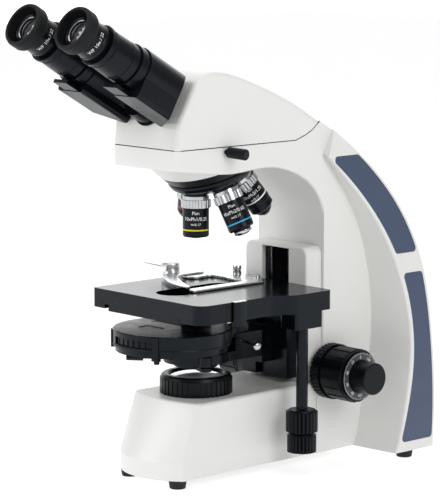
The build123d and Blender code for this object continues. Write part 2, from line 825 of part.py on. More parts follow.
for side, side_name in ((-1, "left"), (1, "right")):
    save(prism_housing(side), f"prism_housing_{side_name}")
    eyetube_outer = barrel_radius + running_fit + eyetube_wall
    save(
        turned(side, [
            (barrel_radius + running_fit, neck_end),
            (neck_radius - 1.4, neck_end),
            (neck_radius - 1.4, neck_end + 0.6),
            (eyetube_outer, neck_end + 0.6),
            (eyetube_outer, eyetube_end),
            (barrel_radius + running_fit, eyetube_end),
        ]),
        f"eyetube_{side_name}",
    )
    save(
        turned(side, [
            (eyetube_outer + running_fit, neck_end + 1),
            (diopter_radius - 0.4, neck_end + 1),
            (diopter_radius, neck_end + 1.6),
            (diopter_radius, neck_end + 9),
            (diopter_radius - 0.5, neck_end + 9.4),
            (diopter_radius - 0.5, neck_end + 10.2),
            (diopter_radius, neck_end + 10.6),
            (diopter_radius - 0.6, eyetube_end - 8),
            (diopter_radius - 1.4, eyetube_end - 7),
            (diopter_radius - 1.4, eyetube_end - 5.6),
            (diopter_radius + 0.4, eyetube_end - 3.6),
            (diopter_radius + 0.4, eyetube_end - 0.9),
            (diopter_radius, eyetube_end - 0.5),
            (eyetube_outer + running_fit, eyetube_end - 0.5),
        ]),
        f"diopter_ring_{side_name}",
    )
    save(
        turned(side, [
            (12.6, eyetube_end - 30),
            (barrel_radius, eyetube_end - 30),
            (barrel_radius, eyepiece_start),
            (eyepiece_radius, eyepiece_start),
            (eyepiece_radius + 0.4, eyepiece_start + 1.5),
            (eyepiece_radius + 0.4, eyepiece_start + 3.5),
            (eyepiece_radius, eyepiece_start + 4.5),
            (eyepiece_radius, cup_start - 4),
            (eyepiece_radius + 0.8, cup_start - 3),
            (eyepiece_radius + 0.8, cup_start - seam),
            (cup_inner_radius, cup_start),
            (cup_inner_radius, cup_end - 9),
            (lens_rim_radius + 1.6, cup_end - 7),
            (lens_rim_radius, cup_end - 8.5),
            (lens_rim_radius, cup_end - 14),
            (12.6, cup_end - 16),
        ]),
        f"eyepiece_{side_name}",
    )
    save(
        turned(side, [
            (cup_inner_radius + running_fit, cup_start),
            (cup_radius - 0.8, cup_start),
            (cup_radius, cup_start + 2),
            (cup_radius, cup_end - 3),
            (cup_radius - 1, cup_end - 0.6),
            (cup_radius - 2.4, cup_end),
            (cup_radius - 3.4, cup_end - 0.8),
            (cup_inner_radius + 0.6, cup_end - 6.5),
            (cup_inner_radius + running_fit, cup_end - 9),
        ]),
        f"eyecup_{side_name}",
    )
    save(
        turned(side, [
            (0, cup_end - 13.5),
            (lens_rim_radius - running_fit, cup_end - 13.5),
            (lens_rim_radius - running_fit, cup_end - 10.6),
            (lens_rim_radius * 0.75, cup_end - 9.6),
            (lens_rim_radius * 0.4, cup_end - 9),
            (0, cup_end - 8.7),
        ]),
        f"eye_lens_{side_name}",
    )

# Nosepiece: dished turret with five threaded stations on a sphere about the apex
dish_radius = apex_to_shoulder - 0.3
sphere_level = turret_offset
dish_rim_z = sphere_level - math.sqrt(dish_radius**2 - 36**2)
dish_middle_z = sphere_level - math.sqrt(dish_radius**2 - 20**2)
with BuildPart() as nosepiece_turret:
    with BuildSketch(nose_section):
        with BuildLine():
            ThreePointArc((0, sphere_level - dish_radius), (20, dish_middle_z), (36, dish_rim_z))
            Polyline(
                (36, dish_rim_z),
                (38.6, dish_rim_z + 2.2),
                (turret_radius, dish_rim_z + 5.5),
                (turret_radius, turret_rim_top - 1),
                (turret_radius - 1, turret_rim_top),
                (nose_pin_radius, turret_rim_top),
                (nose_pin_radius, turret_rim_top + nose_pin_length),
                (0, turret_rim_top + nose_pin_length),
                (0, sphere_level - dish_radius),
            )
        make_face()
    revolve(axis=Axis(nose_plane.origin, nose_plane.z_dir))


def station_plane(station):
    """Plane on the shoulder of one station; z points down the objective."""
    turn = math.radians(station * 360 / stations)
    axis = Vector(0, nose_sin, -nose_cos)
    down = Vector(0, 0, -1)
    direction = (
        axis * (nose_cos * (1 - math.cos(turn)))
        + down * math.cos(turn)
        + axis.cross(down) * math.sin(turn)
    )
    apex = Vector(0, 0, apex_z)
    outward = direction - axis * direction.dot(axis)
    return Plane(origin=apex + direction * apex_to_shoulder, x_dir=outward, z_dir=direction)


with nosepiece_turret:
    for station in range(stations):
        with BuildSketch(station_plane(station).offset(-6)):
            Circle(thread_radius + running_fit)
        extrude(amount=10, mode=Mode.SUBTRACT)
        with BuildSketch(station_plane(station).offset(-20)):
            Circle(8)
        extrude(amount=16, mode=Mode.SUBTRACT)
save(nosepiece_turret, "nosepiece_turret")


def objective(station, corners):
    """One objective turned about its own axis; corners are (radius, distance from shoulder)."""
    seat = station_plane(station)
    section = Plane(origin=seat.origin, x_dir=seat.x_dir, z_dir=seat.y_dir * -1)
    with BuildPart() as barrel:
        with BuildSketch(section):
            with BuildLine():
                Polyline(
                    (4, -5),
                    (thread_radius, -5),
                    (thread_radius, ring_length + collar_length + 0.3),
                    (objective_radius, ring_length + collar_length + 0.3),
                    *corners,
                    (2.2, corners[-1][1]),
                    (2.2, corners[-1][1] - 4),
                    (4, corners[-1][1] - 5),
                    close=True,
                )
            make_face()
        revolve(axis=Axis(seat.origin, seat.z_dir))
    return barrel


full = objective_radius
save(objective(0, [(full, 36.5), (full - 0.8, 37.6), (7.5, 38.2), (4.6, 38.2), (4.2, 39)]), "objective_10x")
save(
    objective(4, [(full, 37), (full - 1, 38.6), (8.2, 38.9), (7.6, 42), (5.5, 43.4), (4, 43.8)]),
    "objective_40x",
)
save(
    objective(3, [(full, 30.5), (full - 0.4, 31.4), (full - 0.4, 37), (9, 39), (7.4, 41.5), (4, 44.4)]),
    "objective_100x",
)
save(objective(1, [(full, 26), (full - 1.5, 29), (9, 31), (7.8, 31)]), "objective_4x")
save(
    objective(2, [(full, 36.5), (full - 1, 38), (8, 38.4), (7.4, 41), (5, 42.6)]),
    "objective_20x",
)

with BuildPart() as objective_collars:
    for station in range(stations):
        seat = station_plane(station)
        with BuildSketch(seat.offset(0.05)):
            Circle(collar_radius - 1.6)
            Circle(thread_radius + running_fit, mode=Mode.SUBTRACT)
        extrude(amount=ring_length - 0.05)
        with BuildSketch(seat.offset(ring_length)):
            fluted_disc(collar_radius, 16, 0.5, 2)
            Circle(thread_radius + running_fit, mode=Mode.SUBTRACT)
        extrude(amount=collar_length)
save(objective_collars, "objective_collars")

# Coaxial focus drive: bushes in the arm, hollow coarse shaft, fine shaft inside it
bush_end = coarse_start - 1
with BuildPart() as focus_bushes:
    for side in (-1, 1):
        with BuildSketch(knob_plane.offset(side * (half_width - bush_reach))):
            Circle(bush_radius)
            Circle(coarse_shaft_radius + running_fit, mode=Mode.SUBTRACT)
        extrude(amount=side * (bush_end - half_width + bush_reach))
    with BuildSketch(knob_plane.offset(-half_width - seam)):
        Circle(coarse_radius - 1)
        Circle(bush_radius, mode=Mode.SUBTRACT)
    extrude(amount=-(bush_end - half_width - seam))
save(focus_bushes, "focus_bushes")

pitch_radius = gear_module * pinion_teeth / 2
tooth_pitch = math.pi * gear_module
tooth_width = tooth_pitch / 2 - tooth_backlash
with BuildPart() as coarse_pinion:
    with BuildSketch(knob_plane.offset(-coarse_end + 4)):
        Circle(coarse_shaft_radius)
    extrude(amount=2 * coarse_end - 8)
    with BuildSketch(knob_plane.offset(-rack_half_width - 1)):
        Circle(pitch_radius - gear_module - 0.2)
        with PolarLocations(pitch_radius, pinion_teeth):
            with Locations((-0.2, 0)):
                Trapezoid(tooth_width + 0.4, 2.2 * gear_module, 75, rotation=-90, align=middle)
    extrude(amount=2 * rack_half_width + 2)
    with BuildSketch(knob_plane.offset(-coarse_end)):
        Circle(fine_shaft_radius + running_fit)
    extrude(amount=2 * coarse_end, mode=Mode.SUBTRACT)
save(coarse_pinion, "coarse_pinion")

with BuildPart() as coarse_knobs:
    for side in (-1, 1):
        with BuildSketch(knob_plane.offset(side * coarse_start)):
            Circle(coarse_radius - 0.8)
        extrude(amount=side * 3)
        with BuildSketch(knob_plane.offset(side * (coarse_start + 3))):
            fluted_disc(coarse_radius, 16, 0.8, 2.4)
        extrude(amount=side * (coarse_end - coarse_start - 5))
        with BuildSketch(knob_plane.offset(side * (coarse_end - 2))):
            Circle(coarse_radius - 0.8)
        extrude(amount=side * 2, taper=20)
        with BuildSketch(knob_plane.offset(side * coarse_start)):
            Circle(20)
            Circle(10, mode=Mode.SUBTRACT)
        extrude(amount=side * 16, mode=Mode.SUBTRACT)
        with BuildSketch(knob_plane.offset(side * coarse_start)):
            Circle(coarse_shaft_radius + running_fit)
        extrude(amount=side * (coarse_end - coarse_start + 1), mode=Mode.SUBTRACT)
save(coarse_knobs, "coarse_knobs")

with BuildPart() as tension_ring:
    with BuildSketch(knob_plane.offset(half_width + 2)):
        fluted_disc(tension_radius, 40, 0.7, 1.6)
        Circle(bush_radius + running_fit, mode=Mode.SUBTRACT)
    extrude(amount=bush_end - half_width - 2)
save(tension_ring, "tension_ring")

with BuildPart() as fine_shaft:
    with BuildSketch(knob_plane.offset(-fine_end + 4)):
        Circle(fine_shaft_radius)
    extrude(amount=2 * fine_end - 8)
save(fine_shaft, "fine_shaft")

with BuildPart() as fine_knobs:
    for side in (-1, 1):
        with BuildSketch(knob_plane.offset(side * (coarse_end + seam))):
            Circle(dial_radius)
        extrude(amount=side * 1.6)
        with BuildSketch(knob_plane.offset(side * (coarse_end + seam + 1.6))):
            Circle(fine_radius)
        extrude(amount=side * (fine_end - coarse_end - seam - 1.6))
        with BuildSketch(knob_plane.offset(side * coarse_end)):
            Circle(fine_shaft_radius + running_fit)
        extrude(amount=side * (fine_end - 3.9 - coarse_end), mode=Mode.SUBTRACT)
    fillet(edges().filter_by(GeomType.CIRCLE).sort_by(Axis.X)[-1], 1.2)
    fillet(edges().filter_by(GeomType.CIRCLE).sort_by(Axis.X)[0], 1.2)
save(fine_knobs, "fine_knobs")

condenser_knob_plane = Plane(origin=(-14, 89, 112), x_dir=(0, -1, 0), z_dir=(-1, 0, 0))
lever_plane = Plane(origin=(-13, -38.5, 110.5), x_dir=(0, 0, 1), z_dir=(-0.79, -0.61, 0))


def screw_plane(side):
    """Start of a centring screw on the flank of the carrier."""
    return Plane(origin=(side * 24, 31, 124), x_dir=(0, 0, 1), z_dir=(side * 0.955, -0.296, 0))


# Focus carriage: front plate, slider through the window, rack behind it, shelf on top
rack_pitch_y = knob_axis_y - pitch_radius
rack_root_y = rack_pitch_y - gear_module
slider_top = 158
rack_bottom = 42
carriage_bottom = 80
with BuildPart() as focus_carriage:
    with BuildSketch(Plane.XY.offset(carriage_bottom)):
        with Locations((0, (carriage_front_y + cover_front_y - 1.5) / 2)):
            Rectangle(60, cover_front_y - 1.5 - carriage_front_y)
    extrude(amount=plate_bottom - carriage_bottom)
    with BuildSketch(Plane.XY.offset(plate_bottom - 8)):
        with Locations((0, 78)):
            RectangleRounded(60, 36, 3)
    extrude(amount=8)
    with BuildSketch(Plane.XY.offset(carriage_bottom)):
        with Locations((0, carriage_front_y)):
            Rectangle(2 * condenser_slide_half + 2 * slide_gap, 10.5)
    extrude(amount=plate_bottom - 8 - carriage_bottom, mode=Mode.SUBTRACT)
    with BuildSketch(condenser_knob_plane):
        Circle(2.5 + running_fit)
    extrude(amount=20, mode=Mode.SUBTRACT)
    with BuildSketch(Plane.XY.offset(carriage_bottom + 2)):
        with Locations((0, (cover_front_y - 2 + 115) / 2)):
            Rectangle(2 * guide_half_width, 115 - cover_front_y + 2)
    extrude(amount=slider_top - carriage_bottom - 2)
    with BuildSketch(Plane.XY.offset(rack_bottom)):
        with Locations((0, (113 + rack_root_y) / 2)):
            Rectangle(2 * rack_half_width, rack_root_y - 113)
    extrude(amount=slider_top - rack_bottom)
    tooth_count = int((slider_top - rack_bottom) / tooth_pitch) - 1
    teeth_up = int((slider_top - knob_axis_z) / tooth_pitch) - 1
    teeth_down = tooth_count - teeth_up
    with BuildSketch(Plane.YZ.offset(-rack_half_width)):
        for tooth in range(-teeth_down, teeth_up):
            with Locations((rack_pitch_y, knob_axis_z + (tooth + 0.5) * tooth_pitch)):
                Trapezoid(tooth_width + 0.3, 2 * gear_module, 70, rotation=-90, align=middle)
    extrude(amount=2 * rack_half_width)
save(focus_carriage, "focus_carriage")

# Stage: lower plate on the carriage, top plate sliding over it
with BuildPart() as stage_base:
    with BuildSketch(Plane.XY.offset(plate_bottom)):
        with BuildLine():
            Polyline(
                (-58, stage_front_y + 2), (43, stage_front_y + 2),
                (43, stage_rear_y - 4), (-58, stage_rear_y - 4), close=True
            )
        make_face()
        fillet(vertices(), 3)
        with Locations((0, 0)):
            Circle(24, mode=Mode.SUBTRACT)
    extrude(amount=plate_thickness)
save(stage_base, "stage_base")

with BuildPart() as stage_top:
    with BuildSketch(Plane.XY.offset(stage_top_z - stage_skirt)):
        with BuildLine():
            Line((-stage_left, stage_rear_y), (-stage_left, stage_front_y))
            Line((-stage_left, stage_front_y), (stage_right, stage_front_y))
            Line((stage_right, stage_front_y), (stage_right, 24))
            Spline(
                (stage_right, 24),
                ((stage_right + stage_right_rear) / 2, 38),
                (stage_right_rear, 50),
                tangents=((0, 1), (0, 1)),
            )
            Line((stage_right_rear, 50), (stage_right_rear, stage_rear_y))
            Line((stage_right_rear, stage_rear_y), (-stage_left, stage_rear_y))
        make_face()
        fillet(vertices().group_by(Axis.Y)[0].sort_by(Axis.X)[-1], stage_corner)
        fillet(vertices().group_by(Axis.Y)[0].sort_by(Axis.X)[0], 2)
        fillet(vertices().group_by(Axis.Y)[-1], 4)
    extrude(amount=stage_skirt)
    # Pocket over the lower plate, open at the back, with a slot through the front edge
    with BuildSketch(Plane.XY.offset(stage_top_z - stage_skirt)):
        with Locations((-7.5, (stage_front_y + 9 + stage_rear_y) / 2)):
            Rectangle(127, stage_rear_y - stage_front_y - 9)
        with Locations((-7.5, stage_front_y + 5)):
            Rectangle(103, 12)
    extrude(amount=stage_skirt - stage_thickness, mode=Mode.SUBTRACT)
    # Aperture over the condenser
    with BuildSketch(Plane.XY.offset(stage_top_z - stage_thickness)):
        with Locations((-2, 4.5)):
            SlotOverall(91, 34, rotation=90)
    extrude(amount=stage_thickness, mode=Mode.SUBTRACT)
    # Housing of the drive column under the right rear corner
    with BuildSketch(Plane.XY.offset(column_top)):
        with Locations((column_x - 1, column_y)):
            RectangleRounded(22, 34, 3)
    extrude(amount=stage_top_z - stage_skirt - column_top)
    with BuildSketch(Plane.XY.offset(column_top)):
        with Locations((column_x, column_y)):
            Circle(shaft_tube_radius + 0.6)
    extrude(amount=14, mode=Mode.SUBTRACT)
save(stage_top, "stage_top")

with BuildPart() as drive_column:
    with BuildSketch(Plane.XY.offset(upper_knob_top + seam)):
        with Locations((column_x, column_y)):
            Circle(column_radius)
            Circle(shaft_tube_radius + running_fit, mode=Mode.SUBTRACT)
    extrude(amount=column_top - upper_knob_top - seam)
save(drive_column, "drive_column")

with BuildPart() as y_drive_knob:
    with BuildSketch(Plane.XY.offset(upper_knob_bottom)):
        with Locations((column_x, column_y)):
            fluted_disc(14, 18, 0.7, 1.8)
    extrude(amount=upper_knob_top - upper_knob_bottom - 2)
    with BuildSketch(Plane.XY.offset(upper_knob_top - 2)):
        with Locations((column_x, column_y)):
            Circle(13.3)
    extrude(amount=2, taper=30)
    with BuildSketch(Plane.XY.offset(upper_knob_top - 1)):
        with Locations((column_x, column_y)):
            Circle(shaft_tube_radius)
    extrude(amount=column_top + 12 - upper_knob_top)
    with BuildSketch(Plane.XY.offset(upper_knob_bottom)):
        with Locations((column_x, column_y)):
            Circle(shaft_core_radius + running_fit)
    extrude(amount=column_top + 14 - upper_knob_bottom, mode=Mode.SUBTRACT)
save(y_drive_knob, "y_drive_knob")

with BuildPart() as x_drive_knob:
    with BuildSketch(Plane.XY.offset(lower_knob_bottom)):
        with Locations((column_x, column_y)):
            fluted_disc(13, 18, 0.7, 1.8)
    extrude(amount=upper_knob_bottom - 1 - lower_knob_bottom)
    with BuildSketch(Plane.XY.offset(upper_knob_bottom - 1)):
        with Locations((column_x, column_y)):
            Circle(shaft_core_radius)
    extrude(amount=column_top + 12 - upper_knob_bottom)
save(x_drive_knob, "x_drive_knob")

# Specimen holder: rear bar with an L shaped right arm, and the sprung finger on its left
holder_z = stage_top_z + slide_gap
with BuildPart() as specimen_holder:
    with BuildSketch(Plane.XY.offset(holder_z)):
        with BuildLine():
            Spline((-66, 66), (-50, 64), (-36, 60), (-20, 66), (-6, 68), tangents=((1, -0.3), (1, 0)))
            Polyline(
                (-6, 68), (3, 68), (3, -10), (7, -14), (12, -14), (14, -10), (14, 84), (-66, 84), (-66, 66)
            )
        make_face()
    extrude(amount=holder_arm)
    with BuildSketch(Plane.XY.offset(holder_z)):
        with BuildLine():
            Polyline((-66, 72), (14, 72), (14, 84), (-66, 84), close=True)
        make_face()
    extrude(amount=holder_bar)
    with BuildSketch(Plane.XY.offset(holder_z)):
        with Locations((-33, 78), (0, 78)):
            Circle(2)
    extrude(amount=holder_bar + 3)
    with BuildSketch(Plane.XY.offset(holder_z + holder_bar + 1)):
        with Locations((-33, 78)):
            fluted_disc(4.6, 12, 0.5, 1)
    extrude(amount=7)
    with BuildSketch(Plane.XY.offset(holder_z)):
        with Locations(finger_pivot):
            Circle(8)
    extrude(amount=holder_arm)
    with BuildSketch(Plane.XY.offset(holder_z + holder_arm)):
        with Locations(finger_pivot):
            Circle(2.4)
    extrude(amount=3)
save(specimen_holder, "specimen_holder")

finger_z = holder_z + holder_arm + 0.2
with BuildPart() as holder_finger:
    with BuildSketch(Plane.XY.offset(finger_z)):
        with Locations(finger_pivot):
            Circle(5.5)
        with BuildLine():
            Spline((-67, 61), (-77, 44), (-68, 22), (-44, 6), (-14, -1))
            Line((-14, -1), (-14, 2))
            Spline((-14, 2), (-38, 13), (-56, 28), (-61, 44), (-57, 61))
            Line((-57, 61), (-67, 61))
        make_face()
        with Locations(finger_pivot):
            Circle(2.4 + running_fit, mode=Mode.SUBTRACT)
    extrude(amount=1.6)
    with BuildSketch(Plane.XZ.offset(-36)):
        with Locations((-69, finger_z + 5.5)):
            RectangleRounded(22, 7.5, 3)
    extrude(amount=9)
    with BuildSketch(Plane.XY.offset(finger_z)):
        with Locations((-69, 31.5)):
            Rectangle(10, 8)
    extrude(amount=4)
save(holder_finger, "holder_finger")

# Condenser: carrier on its own slide, ring, turret drum and lens
with BuildPart() as condenser_carrier:
    with BuildSketch(Plane.XY.offset(95)):
        with Locations((0, (72 + carriage_front_y + 4.8) / 2)):
            Rectangle(2 * condenser_slide_half, carriage_front_y + 4.8 - 72)
    extrude(amount=37)
    with BuildSketch(Plane.XY.offset(ring_bottom)):
        Circle(30)
        with BuildLine():
            Polyline((-24, 14), (24, 14), (24, 60), (14, 76), (-14, 76), (-24, 60), close=True)
        make_face()
        with Locations(filter_pivot):
            Circle(6)
    extrude(amount=ring_height)
    with BuildSketch(Plane.XY.offset(ring_bottom)):
        with BuildLine():
            Polyline((-24, 27), (24, 27), (24, 60), (14, 76), (-14, 76), (-24, 60), close=True)
        make_face()
    extrude(amount=129 - ring_bottom)
    with BuildSketch(Plane.XY.offset(ring_bottom)):
        Circle(condenser_barrel_radius + running_fit)
    extrude(amount=40, mode=Mode.SUBTRACT)
    with BuildSketch(Plane.XY.offset(ring_bottom)):
        with Locations(filter_pivot):
            Circle(2.5)
    extrude(amount=-4.2)
    for side in (-1, 1):
        with BuildSketch(screw_plane(side)):
            Circle(screw_radius + running_fit)
        extrude(amount=18, both=True, mode=Mode.SUBTRACT)
save(condenser_carrier, "condenser_carrier")

with BuildPart() as condenser_body:
    with BuildSketch(Plane.XY.offset(barrel_bottom)):
        Circle(condenser_barrel_radius)
    extrude(amount=drum_bottom - barrel_bottom)
    with BuildSketch(Plane.XY.offset(drum_bottom)):
        with Locations((0, drum_y)):
            Circle(drum_radius - 2.5)
    extrude(amount=drum_step - drum_bottom)
    with BuildSketch(Plane.XY.offset(drum_step)):
        with Locations((0, drum_y)):
            Circle(drum_radius)
    extrude(amount=drum_top - drum_step)
    chamfer(edges().group_by(Axis.Z)[-1], 1)
    with BuildSketch(Plane.XY.offset(disc_bottom - slide_gap)):
        with Locations((0, drum_y)):
            Circle(disc_radius + slide_gap)
            Circle(5, mode=Mode.SUBTRACT)
    extrude(amount=disc_thickness + 2 * slide_gap, mode=Mode.SUBTRACT)
    # Window in the drum's wall where the disc's edge is turned by hand
    with BuildSketch(Plane.XY.offset(disc_bottom - slide_gap)):
        with BuildLine():
            Polyline(
                (0, drum_y),
                (70 * math.cos(math.radians(-112)), drum_y + 70 * math.sin(math.radians(-112))),
                (70 * math.cos(math.radians(-55)), drum_y + 70 * math.sin(math.radians(-55))),
                close=True,
            )
        make_face()
        with Locations((0, drum_y)):
            Circle(30, mode=Mode.SUBTRACT)
    extrude(amount=disc_thickness + 2 * slide_gap, mode=Mode.SUBTRACT)
    with BuildSketch(Plane.XY.offset(barrel_bottom)):
        Circle(13)
    extrude(amount=drum_top - barrel_bottom, mode=Mode.SUBTRACT)
save(condenser_body, "condenser_body")

with BuildPart() as phase_turret:
    with BuildSketch(Plane.XY.offset(disc_bottom)):
        with Locations((0, drum_y)):
            fluted_disc(disc_radius, 48, 0.8, 2)
            Circle(5 + running_fit, mode=Mode.SUBTRACT)
            with PolarLocations(-drum_y, 5, start_angle=90):
                Circle(12, mode=Mode.SUBTRACT)
    extrude(amount=disc_thickness)
save(phase_turret, "phase_turret")

with BuildPart() as condenser_lens:
    with BuildSketch(Plane.XZ):
        with BuildLine():
            Polyline(
                (8, drum_top),
                (14, drum_top),
                (14, drum_top + 6),
                (11, drum_top + 7.5),
                (11, lens_top_z - 2.5),
                (10, lens_top_z - 0.6),
                (7.5, lens_top_z - 0.6),
                (7.5, lens_top_z),
                (0, lens_top_z),
                (0, lens_top_z - 6),
                (7.5, lens_top_z - 6),
                close=True,
            )
        make_face()
    revolve(axis=Axis.Z)
save(condenser_lens, "condenser_lens")

for side, side_name in ((-1, "left"), (1, "right")):
    with BuildPart() as centring_screw:
        with BuildSketch(screw_plane(side).offset(-6)):
            Circle(screw_radius)
        extrude(amount=screw_length + 6)
        with BuildSketch(screw_plane(side).offset(screw_length - 6)):
            Circle(3.6)
        extrude(amount=6)
    save(centring_screw, f"centring_screw_{side_name}")

with BuildPart() as aperture_lever:
    with BuildSketch(Plane.XY.offset(lever_ring_z)):
        Circle(26)
        with BuildLine():
            Polyline((-2, -22), (-14, -20), (-18, -40), (-7, -41), close=True)
        make_face()
        Circle(condenser_barrel_radius + running_fit, mode=Mode.SUBTRACT)
    extrude(amount=4.6)
    with BuildSketch(Plane.XY.offset(lever_ring_z - 7)):
        with Locations((-12.5, -37.5)):
            RectangleRounded(9, 6, 2)
    extrude(amount=8)
    with BuildSketch(lever_plane):
        Circle(1.2)
    extrude(amount=14)
    with BuildSketch(lever_plane.offset(11)):
        Circle(3.2)
    extrude(amount=15)
save(aperture_lever, "aperture_lever")

with BuildPart() as filter_tray:
    with BuildSketch(Plane.XY.offset(tray_z)):
        Circle(20)
        with Locations(filter_pivot):
            Circle(5.5)
        with BuildLine():
            Polyline(
                (12, -14),
                (filter_pivot[0], filter_pivot[1] - 5),
                (filter_pivot[0], filter_pivot[1] + 5),
                (14, 0),
                close=True,
            )
        make_face()
        Circle(filter_ledge_radius, mode=Mode.SUBTRACT)
        with Locations(filter_pivot):
            Circle(2.5 + running_fit, mode=Mode.SUBTRACT)
    extrude(amount=3)
    with BuildSketch(Plane.XY.offset(tray_z + 0.8)):
        Circle(filter_radius)
    extrude(amount=3, mode=Mode.SUBTRACT)
save(filter_tray, "filter_tray")

with BuildPart() as condenser_knob:
    with BuildSketch(condenser_knob_plane):
        Circle(2.5)
    extrude(amount=22)
    with BuildSketch(condenser_knob_plane.offset(20)):
        fluted_disc(condenser_knob_radius, 18, 0.7, 1.8)
    extrude(amount=16)
save(condenser_knob, "condenser_knob")
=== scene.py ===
import math

import bmesh
import bpy
from mathutils import Matrix, Vector


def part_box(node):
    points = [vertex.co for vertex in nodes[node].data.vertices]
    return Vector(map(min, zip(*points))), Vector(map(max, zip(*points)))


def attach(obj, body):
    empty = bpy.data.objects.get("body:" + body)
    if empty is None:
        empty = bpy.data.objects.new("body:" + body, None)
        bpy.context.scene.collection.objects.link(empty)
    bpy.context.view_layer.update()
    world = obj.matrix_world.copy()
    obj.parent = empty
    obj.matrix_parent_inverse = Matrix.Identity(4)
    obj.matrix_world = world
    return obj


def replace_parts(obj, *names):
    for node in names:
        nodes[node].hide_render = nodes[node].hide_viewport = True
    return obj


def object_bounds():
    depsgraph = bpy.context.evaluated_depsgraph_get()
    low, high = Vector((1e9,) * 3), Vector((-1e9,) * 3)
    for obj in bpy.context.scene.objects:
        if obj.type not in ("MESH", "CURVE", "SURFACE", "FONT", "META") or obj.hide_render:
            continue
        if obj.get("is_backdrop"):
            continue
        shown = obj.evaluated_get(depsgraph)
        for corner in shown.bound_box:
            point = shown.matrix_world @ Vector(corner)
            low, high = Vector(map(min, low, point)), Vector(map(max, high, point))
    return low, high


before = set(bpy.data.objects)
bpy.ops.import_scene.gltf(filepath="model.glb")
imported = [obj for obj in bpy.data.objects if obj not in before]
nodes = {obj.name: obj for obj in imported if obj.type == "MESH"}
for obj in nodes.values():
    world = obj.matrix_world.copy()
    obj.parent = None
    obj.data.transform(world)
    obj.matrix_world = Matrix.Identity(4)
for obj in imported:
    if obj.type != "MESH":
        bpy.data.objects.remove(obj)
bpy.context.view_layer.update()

MM = 0.001
POLE = 0.01                                  # radius of the hairline left on a turned axis, in mm
UP = Vector((0, 0, 1))
DOWN = -UP

# View of the camera
CAMERA_AT = (1.63656, -1.46994, 0.53341)
CAMERA_AZIMUTH = math.radians(47.5)
CAMERA_ELEVATION = math.radians(8.4)
SENSOR_WIDTH = 36
FOCAL_PIXELS = 2450
LONG_SIDE_PIXELS = 496
CAMERA_SIDE = Vector((math.sin(CAMERA_AZIMUTH), -math.cos(CAMERA_AZIMUTH), 0))

# Places on the stand, repeated from the part's own sizes
APEX = Vector((0, 0, 324.7)) * MM            # where the objective axes meet
NOSE_TILT = math.radians(20.5)
TURRET_AXIS = Vector((0, math.sin(NOSE_TILT), -math.cos(NOSE_TILT)))
TO_SHOULDER = 67.5 * MM
STATIONS = 5
RACE_START = 39.5                            # painted part of the nosepiece seat, in mm from the apex
HEAD_ORIGIN = Vector((0, -52.3, 338.8)) * MM
HEAD_TILT = math.radians(30)
TUBE_DIRECTION = Vector((0, -math.cos(HEAD_TILT), math.sin(HEAD_TILT)))
HEAD_UP = Vector((0, math.sin(HEAD_TILT), math.cos(HEAD_TILT)))
HINGE_ARM = 35                               # from the hinge to a tube's axis
TUBE_OFFSET = 34                             # the same, across the head
KNOB_CENTRE = Vector((0, 126.5, 85.5)) * MM
DIAL_FROM_CENTRE = 86.4 * MM
COLUMN = Matrix.Translation(Vector((70, 67, 0)) * MM)
DRUM = Vector((0, -29, 0)) * MM


# Materials

def linear(code):
    """Linear colour of an sRGB hex value."""
    parts = [int(code[i:i + 2], 16) / 255 for i in (0, 2, 4)]
    return [c / 12.92 if c <= 0.04045 else ((c + 0.055) / 1.055) ** 2.4 for c in parts] + [1.0]


def add(tree, kind, links=None, inputs=None, **settings):
    """Add one node with its settings and input values, and link its inputs."""
    fresh = tree.nodes.new(kind)
    for name, value in settings.items():
        setattr(fresh, name, value)
    for name, value in (inputs or {}).items():
        fresh.inputs[name].default_value = value
    for name, socket in (links or {}).items():
        tree.links.new(socket, fresh.inputs[name])
    return fresh


def surface(name, light, dark, roughness, spread=0.04, cloud=45, grain=0.8, relief=0.01, **shader):
    """Material with a slow drift of colour and gloss and a fine grain; sizes are in millimetres."""
    material = bpy.data.materials.new(name)
    material.use_nodes = True
    tree = material.node_tree
    tree.nodes.clear()
    place = add(tree, "ShaderNodeTexCoord").outputs["Object"]
    drift = add(tree, "ShaderNodeTexNoise", {"Vector": place}, {"Scale": 1 / (cloud * MM), "Detail": 3.0})
    tint = add(
        tree, "ShaderNodeMixRGB", {"Fac": drift.outputs["Fac"]},
        {"Color1": linear(light), "Color2": linear(dark)},
    )
    gloss = add(
        tree, "ShaderNodeMapRange", {"Value": drift.outputs["Fac"]},
        {"From Min": 0.3, "From Max": 0.7, "To Min": roughness - spread, "To Max": roughness + spread},
    )
    speckle = add(tree, "ShaderNodeTexNoise", {"Vector": place}, {"Scale": 1 / (grain * MM), "Detail": 2.0})
    bump = add(
        tree, "ShaderNodeBump", {"Height": speckle.outputs["Fac"]},
        {"Strength": 1.0, "Distance": relief * MM},
    )
    principled = add(tree, "ShaderNodeBsdfPrincipled", {
        "Base Color": tint.outputs["Color"],
        "Roughness": gloss.outputs["Result"],
        "Normal": bump.outputs["Normal"],
    }, {key.replace("_", " ").title().replace("Ior", "IOR"): value for key, value in shader.items()})
    add(tree, "ShaderNodeOutputMaterial", {"Surface": principled.outputs["BSDF"]})
    return material


PAINT = ("E4E4E2", "E0E0DD", 0.38, 0.03, 80, 2.2, 0.012)
COOL_SHEEN = linear("E2EEFA")
# Polyester powder coat on die-cast aluminium: warm white, satin, with a faint orange peel
powder_coat = surface("powder_coated_die_casting", *PAINT, ior=1.5)
# Moulded ABS trim, fine spark-eroded grain, slate blue
slate_abs = surface("moulded_slate_abs", "46536C", "3F4B63", 0.42, 0.03, 30, 0.5, 0.02, ior=1.53)
# Hard anodised aluminium: near black, satin, with a dry, slightly cool sheen
anodised = surface(
    "black_anodised_aluminium", "0B0E13", "090B0F", 0.27, 0.05, 25, 0.5, 0.006, ior=1.3,
    specular_tint=COOL_SHEEN,
)
